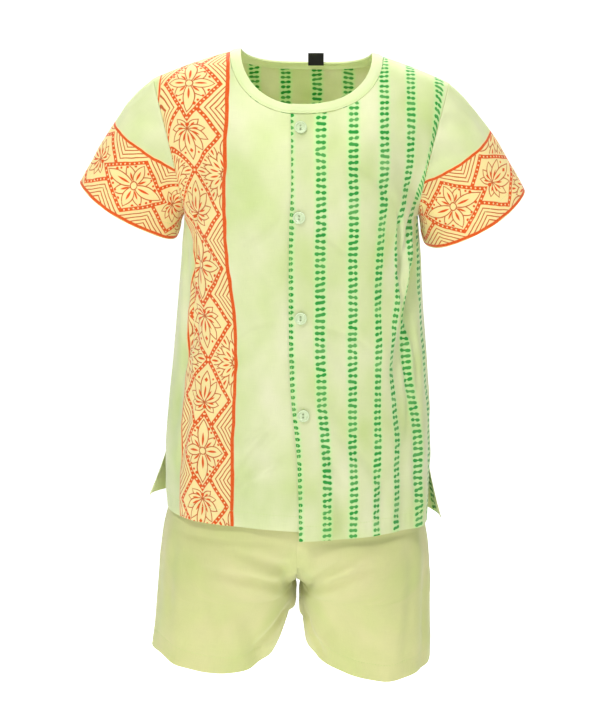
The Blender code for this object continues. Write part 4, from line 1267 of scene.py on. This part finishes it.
def waist_grid(around, rows):
    """Gathered casing round the waist, split at the back."""
    trim = 0.5 * SEAM_GAP / WAIST_HALF_X
    turn = np.linspace(trim, 2.0 * np.pi - trim, around + 1)[:, None]
    share = np.linspace(0.0, 1.0, rows + 1)[None, :]
    height = WAIST_LOW_Z + (WAIST_TOP_Z - WAIST_LOW_Z) * share + 0.0 * turn
    points = np.stack(np.broadcast_arrays(WAIST_MID_X + WAIST_HALF_X * np.sin(turn),
                                          WAIST_HALF_Y * np.cos(turn), height), -1)
    waves = np.sin(GATHERS * turn) * (0.55 + 0.45 * np.sin(2.6 * turn + 0.7))
    waves = waves + 0.35 * np.sin(2.3 * GATHERS * turn + 1.1)
    shift = GATHER_DEPTH * waves * (0.35 + 0.65 * np.sin(np.pi * share))
    shift = shift - 0.5 * np.exp(-((share - 0.5) / 0.05) ** 2)
    return points, shift, laid_flat(points)


add_cloth("waist", "waistband", "shorts_cloth", SHORTS_CLOTH, *waist_grid(*WAIST_GRID), WAIST_WALL,
          (0.0, 0.0, -330.0))


# Sewing.
def line_at(outer, normals, measure, value):
    """Line where a distance that grows along each row has one value, and the ways out there."""
    line, ways = [], []
    for spots, outs, run in zip(outer, normals, measure):
        order = np.argsort(run)
        for found, kept in ((spots, line), (outs, ways)):
            kept.append([np.interp(value, run[order], found[order, k]) for k in range(3)])
    return np.array(line), np.array(ways)


def hem_line(key, value):
    return line_at(built[key]["outer"], built[key]["normals"], built[key]["hem_gap"], value)


def up_placket(value, last):
    """Line up the left front at a distance from its edge, from the hem to a row of points."""
    parts = (left["outer"], left["normals"], edge_gap)
    return line_at(*(np.swapaxes(part, 0, 1)[8:last] for part in parts), value)


def add_stitches(name, line, ways, pitch=STITCH_PITCH, length=STITCH_LENGTH,
                 radius=STITCH_RADIUS):
    """Row of short raised threads along a line on the cloth."""
    run = np.concatenate(([0.0], np.cumsum(np.linalg.norm(np.diff(line, axis=0), axis=1))))
    count = int((run[-1] - 2.0) / pitch)
    verts, faces = [], []
    sides = 6
    for k in range(count):
        at = 1.0 + pitch * (k + 0.5)
        ring_at = (at - length / 2.0, at - length / 4.0, at + length / 4.0, at + length / 2.0)
        base = len(verts)
        for ring, (spot, size) in enumerate(zip(ring_at, (0.35, 1.0, 1.0, 0.35))):
            p, n, q = (np.array([np.interp(where, run, kept[:, c]) for c in range(3)])
                       for where, kept in ((spot, line), (spot, ways), (spot + 0.3, line)))
            n /= np.linalg.norm(n)
            t = q - p
            t /= np.linalg.norm(t) + 1e-9
            b = np.cross(n, t)
            sink = -0.12 if ring in (0, 3) else 0.06
            for s in range(sides):
                w = 2.0 * math.pi * s / sides
                verts.append(p + n * (sink + radius * size * math.sin(w) + 0.03)
                             + b * (radius * size * math.cos(w)))
        for ring in range(3):
            for s in range(sides):
                a = base + ring * sides + s
                c = base + ring * sides + (s + 1) % sides
                faces.append((a, c, c + sides, a + sides))
        faces.append(tuple(base + s for s in reversed(range(sides))))
        faces.append(tuple(base + 3 * sides + s for s in range(sides)))
    piece = new_piece(name, verts, faces)
    piece.data.materials.append(THREAD)
    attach(piece, "root")
    return piece


left = built["front_left"]
edge_gap = left["form"][:, :, 0] - left["form"][:1, :, 0]
sewn = {key: [] for key in built}
stitched = [
    ("front_left", "placket_stitches", up_placket(PLACKET_ROW, LOW_ROWS + 52)),
    ("front_left", "placket_edge_stitches", up_placket(PLACKET_EDGE_ROW, LOW_ROWS + 56)),
]
for cut in PANELS:
    stitched.append((cut, cut + "_hem_stitches", hem_line(cut, SHIRT_HEM)))
for word in ("right", "left"):
    for kind, row in (("sleeve_", SLEEVE_HEM), ("shorts_front_", SHORTS_HEM),
                      ("shorts_back_", SHORTS_HEM)):
        stitched.append((kind + word, kind + word + "_hem_stitches", hem_line(kind + word, row)))
for key, name, line in stitched:
    sewn[key].append(add_stitches(name, *line))
sewn["binding"].append(add_stitches("binding_stitches", bind_outer[:, 2], bind_normals[:, 2],
                                    pitch=2.2, length=1.6, radius=0.15))


# Buttons and label.
def nearest_on(item, across, height):
    """Seat for a button at an x and height: the highest cloth close to it, and its way out."""
    flat = item["outer"].reshape(-1, 3)
    ways = item["normals"].reshape(-1, 3)
    k = int(np.argmin((flat[:, 0] - across) ** 2 + (flat[:, 2] - height) ** 2))
    near = np.linalg.norm(flat - flat[k], axis=1) < 5.0
    way = ways[near].mean(axis=0)
    way /= np.linalg.norm(way)
    lift = float(((flat[near] - flat[k]) @ way).max())
    return flat[k] + way * lift, way


def pick_faces(test):
    """Selects the faces of the mesh being edited that pass a test, and nothing else."""
    bpy.ops.mesh.select_mode(type="FACE")
    bpy.ops.mesh.select_all(action="DESELECT")
    bpy.ops.object.mode_set(mode="OBJECT")
    for face in bpy.context.object.data.polygons:
        face.select = bool(test(face))
    bpy.ops.object.mode_set(mode="EDIT")


def seat(piece, spot, way):
    """Moves a piece's points from the origin, where it was made, to its seat."""
    out = Vector(way).normalized()
    side = Vector((0.0, 0.0, 1.0)).cross(out).normalized()
    matrix = Matrix((side, out.cross(side).normalized(), out)).transposed().to_4x4()
    matrix.translation = Vector(spot) * MM
    piece.data.transform(matrix)
    piece.data.update()


def made(add, name, **values):
    """New object from one of Blender's own shapes, the only one selected."""
    bpy.ops.object.select_all(action="DESELECT")
    add(**values)
    piece = bpy.context.object
    piece.name = name
    return piece


def make_button(name):
    """Two-hole shirt button: a turned rim, a shallow dish and holes one above the other."""
    piece = made(bpy.ops.mesh.primitive_cylinder_add, name, vertices=56, radius=5.6 * MM,
                 depth=1.9 * MM, location=(0.0, 0.0, 0.95 * MM))
    bpy.ops.object.transform_apply(location=True, rotation=True, scale=True)
    bpy.ops.object.mode_set(mode="EDIT")
    pick_faces(lambda face: face.normal.z > 0.9)
    bpy.ops.mesh.inset(thickness=1.15 * MM)
    bpy.ops.mesh.inset(thickness=0.45 * MM, depth=-0.75 * MM)
    bpy.ops.mesh.inset(thickness=1.30 * MM, depth=-0.10 * MM)
    pick_faces(lambda face: face.normal.z < -0.9)
    bpy.ops.mesh.inset(thickness=0.9 * MM, depth=0.0)
    bpy.ops.object.mode_set(mode="OBJECT")
    for rise in (-1.55, 1.55):
        drill = made(bpy.ops.mesh.primitive_cylinder_add, "drill", vertices=20,
                     radius=0.85 * MM, depth=8.0 * MM, location=(0.0, rise * MM, 0.0))
        hole = piece.modifiers.new("hole", "BOOLEAN")
        hole.object = drill
        hole.operation = "DIFFERENCE"
        bpy.ops.object.select_all(action="DESELECT")
        piece.select_set(True)
        bpy.context.view_layer.objects.active = piece
        bpy.ops.object.modifier_apply(modifier=hole.name)
        bpy.data.objects.remove(drill, do_unlink=True)
    bevel = piece.modifiers.new("soft_edges", "BEVEL")
    bevel.width = 0.28 * MM
    bevel.segments = 3
    bevel.limit_method = "ANGLE"
    bevel.angle_limit = math.radians(28.0)
    bpy.ops.object.modifier_apply(modifier=bevel.name)
    piece.data.shade_smooth()
    piece.data.set_sharp_from_angle(angle=math.radians(50.0))
    return piece


def make_thread(name):
    """Thread that joins the two holes of a button."""
    piece = made(bpy.ops.mesh.primitive_torus_add, name, major_segments=28, minor_segments=8,
                 major_radius=1.5 * MM, minor_radius=0.26 * MM,
                 rotation=(0.0, math.radians(90.0), 0.0))
    bpy.ops.object.transform_apply(location=True, rotation=True, scale=True)
    piece.scale = (1.5, 1.0, 0.52)
    piece.location = (0.0, 0.0, 0.85 * MM)
    bpy.ops.object.transform_apply(location=True, rotation=True, scale=True)
    piece.data.shade_smooth()
    return piece


def make_buttonhole(name):
    """Worked edge of a buttonhole, a long narrow ring that shows above and below the button."""
    piece = made(bpy.ops.mesh.primitive_torus_add, name, major_segments=48, minor_segments=8,
                 major_radius=7.1 * MM, minor_radius=0.42 * MM)
    bpy.ops.object.mode_set(mode="EDIT")
    bpy.ops.mesh.select_all(action="SELECT")
    bpy.ops.transform.resize(value=(0.13, 1.0, 0.8))
    bpy.ops.object.mode_set(mode="OBJECT")
    piece.data.shade_smooth()
    return piece


for number, (across, height) in enumerate(BUTTONS):
    spot, way = nearest_on(left, across, height)
    word = str(number + 1)
    button = make_button("button_" + word + "_shell")
    seat(button, spot + way * BUTTON_SINK, way)
    add_piece(button, "button_" + word, BUTTON)
    for piece, sink, material in (
            (make_thread("button_" + word + "_thread"), BUTTON_SINK, BUTTON_THREAD),
            (make_buttonhole("buttonhole_" + word), 0.05, THREAD)):
        seat(piece, spot + way * sink, way)
        piece.data.materials.append(material)
        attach(piece, "root")


def label_grid():
    """Folded tape: down behind, up in front, its fold at the top."""
    lean = math.radians(LABEL_LEAN)
    rise = (LABEL_TALL - 1.0) / 8.0
    turns = [math.pi * k / 8.0 for k in range(1, 8)]
    path = np.array([(0.42, -LABEL_TALL + 0.4 + rise * k) for k in range(9)]
                    + [(0.42 * math.cos(turn), -0.6 + 0.55 * math.sin(turn)) for turn in turns]
                    + [(-0.42, -0.6 - rise * k) for k in range(9)])
    inner = (bind_outer - bind_normals * BINDING_WALL).reshape(-1, 3)
    near = (np.abs(inner[:, 0] - LABEL_X) < LABEL_WIDTH / 2.0 + 1.0) & (inner[:, 1] > 0.0)
    reach = inner[near, 1] + (inner[near, 2] - LABEL_TOP_Z) * math.tan(lean)
    back = float(reach.min()) - 0.75 / math.cos(lean)
    x = np.linspace(-LABEL_WIDTH / 2.0, LABEL_WIDTH / 2.0, 16)[:, None]
    curl = 0.25 * (x / 7.0) ** 2
    y = back + path[None, :, 0] * math.cos(lean) - path[None, :, 1] * math.sin(lean) - curl
    z = LABEL_TOP_Z + path[None, :, 1] * math.cos(lean) + path[None, :, 0] * math.sin(lean)
    return np.stack(np.broadcast_arrays(LABEL_X + x, y, z), -1)


points = label_grid()
label = cloth_sheet("neck_label_tape", points, np.zeros(points.shape[:2]), LABEL_WALL,
                    (LABEL_X, float(points[:, :, 1].mean()), -16.0), laid_flat(points))[0]
add_piece(label, "neck_label", BLACK)

# Studio, in metres.
FLOOR_Z = -1.35
floor = made(bpy.ops.mesh.primitive_plane_add, "studio_floor", size=40.0,
             location=(0.0, 0.0, FLOOR_Z))
paper, _, shader = new_material("white_paper")
dial(shader, Base_Color=(0.92, 0.92, 0.92, 1.0), Roughness=1.0,
     Emission_Color=(1.0, 1.0, 1.0, 1.0), Emission_Strength=0.9)
floor.data.materials.append(paper)

world = bpy.data.worlds.new("studio")
bpy.context.scene.world = world
world.use_nodes = True
dial(world.node_tree.nodes["Background"], Color=(0.95, 1.0, 0.86, 1.0), Strength=0.28)
bpy.context.scene.view_settings.view_transform = "Standard"

# name, place, target, size, power
LIGHTS = (
    ("key_light", (-1.0, -1.9, 2.1), (0.0, 0.0, -0.2), 0.5, 52.0),
    ("front_light", (0.3, -3.1, 0.05), (0.0, 0.0, -0.15), 0.7, 15.0),
    ("top_light", (0.2, -0.2, 2.2), (0.0, 0.0, -0.2), 1.4, 42.0),
    ("back_light", (0.0, 1.4, 1.0), (0.0, 0.05, -0.06), 0.7, 48.0),
)
for name, place, target, size, power in LIGHTS:
    data = bpy.data.lights.new(name, "AREA")
    data.shape = "DISK"
    data.size = size
    data.energy = power
    lamp = bpy.data.objects.new(name, data)
    bpy.context.scene.collection.objects.link(lamp)
    lamp.location = place
    lamp.rotation_euler = (Vector(target) - Vector(place)).to_track_quat("-Z", "Y").to_euler()

CAMERA_AIM = Vector((-0.00094, 0.0, -0.2908))
CAMERA_TILT = math.radians(14.0)
CAMERA_AWAY = 3.2
CAMERA_LENS = 170.66
camera_data = bpy.data.cameras.new("photo_camera")
camera_data.sensor_width = 36.0
camera_data.sensor_fit = "VERTICAL"
camera_data.sensor_height = 36.0
camera_data.lens = CAMERA_LENS
camera_data.clip_start = 0.1
camera = bpy.data.objects.new("photo_camera", camera_data)
bpy.context.scene.collection.objects.link(camera)
away = Vector((0.0, -math.cos(CAMERA_TILT), math.sin(CAMERA_TILT)))
camera.location = CAMERA_AIM + away * CAMERA_AWAY
camera.rotation_euler = (CAMERA_AIM - camera.location).to_track_quat("-Z", "Y").to_euler()
bpy.context.scene.camera = camera
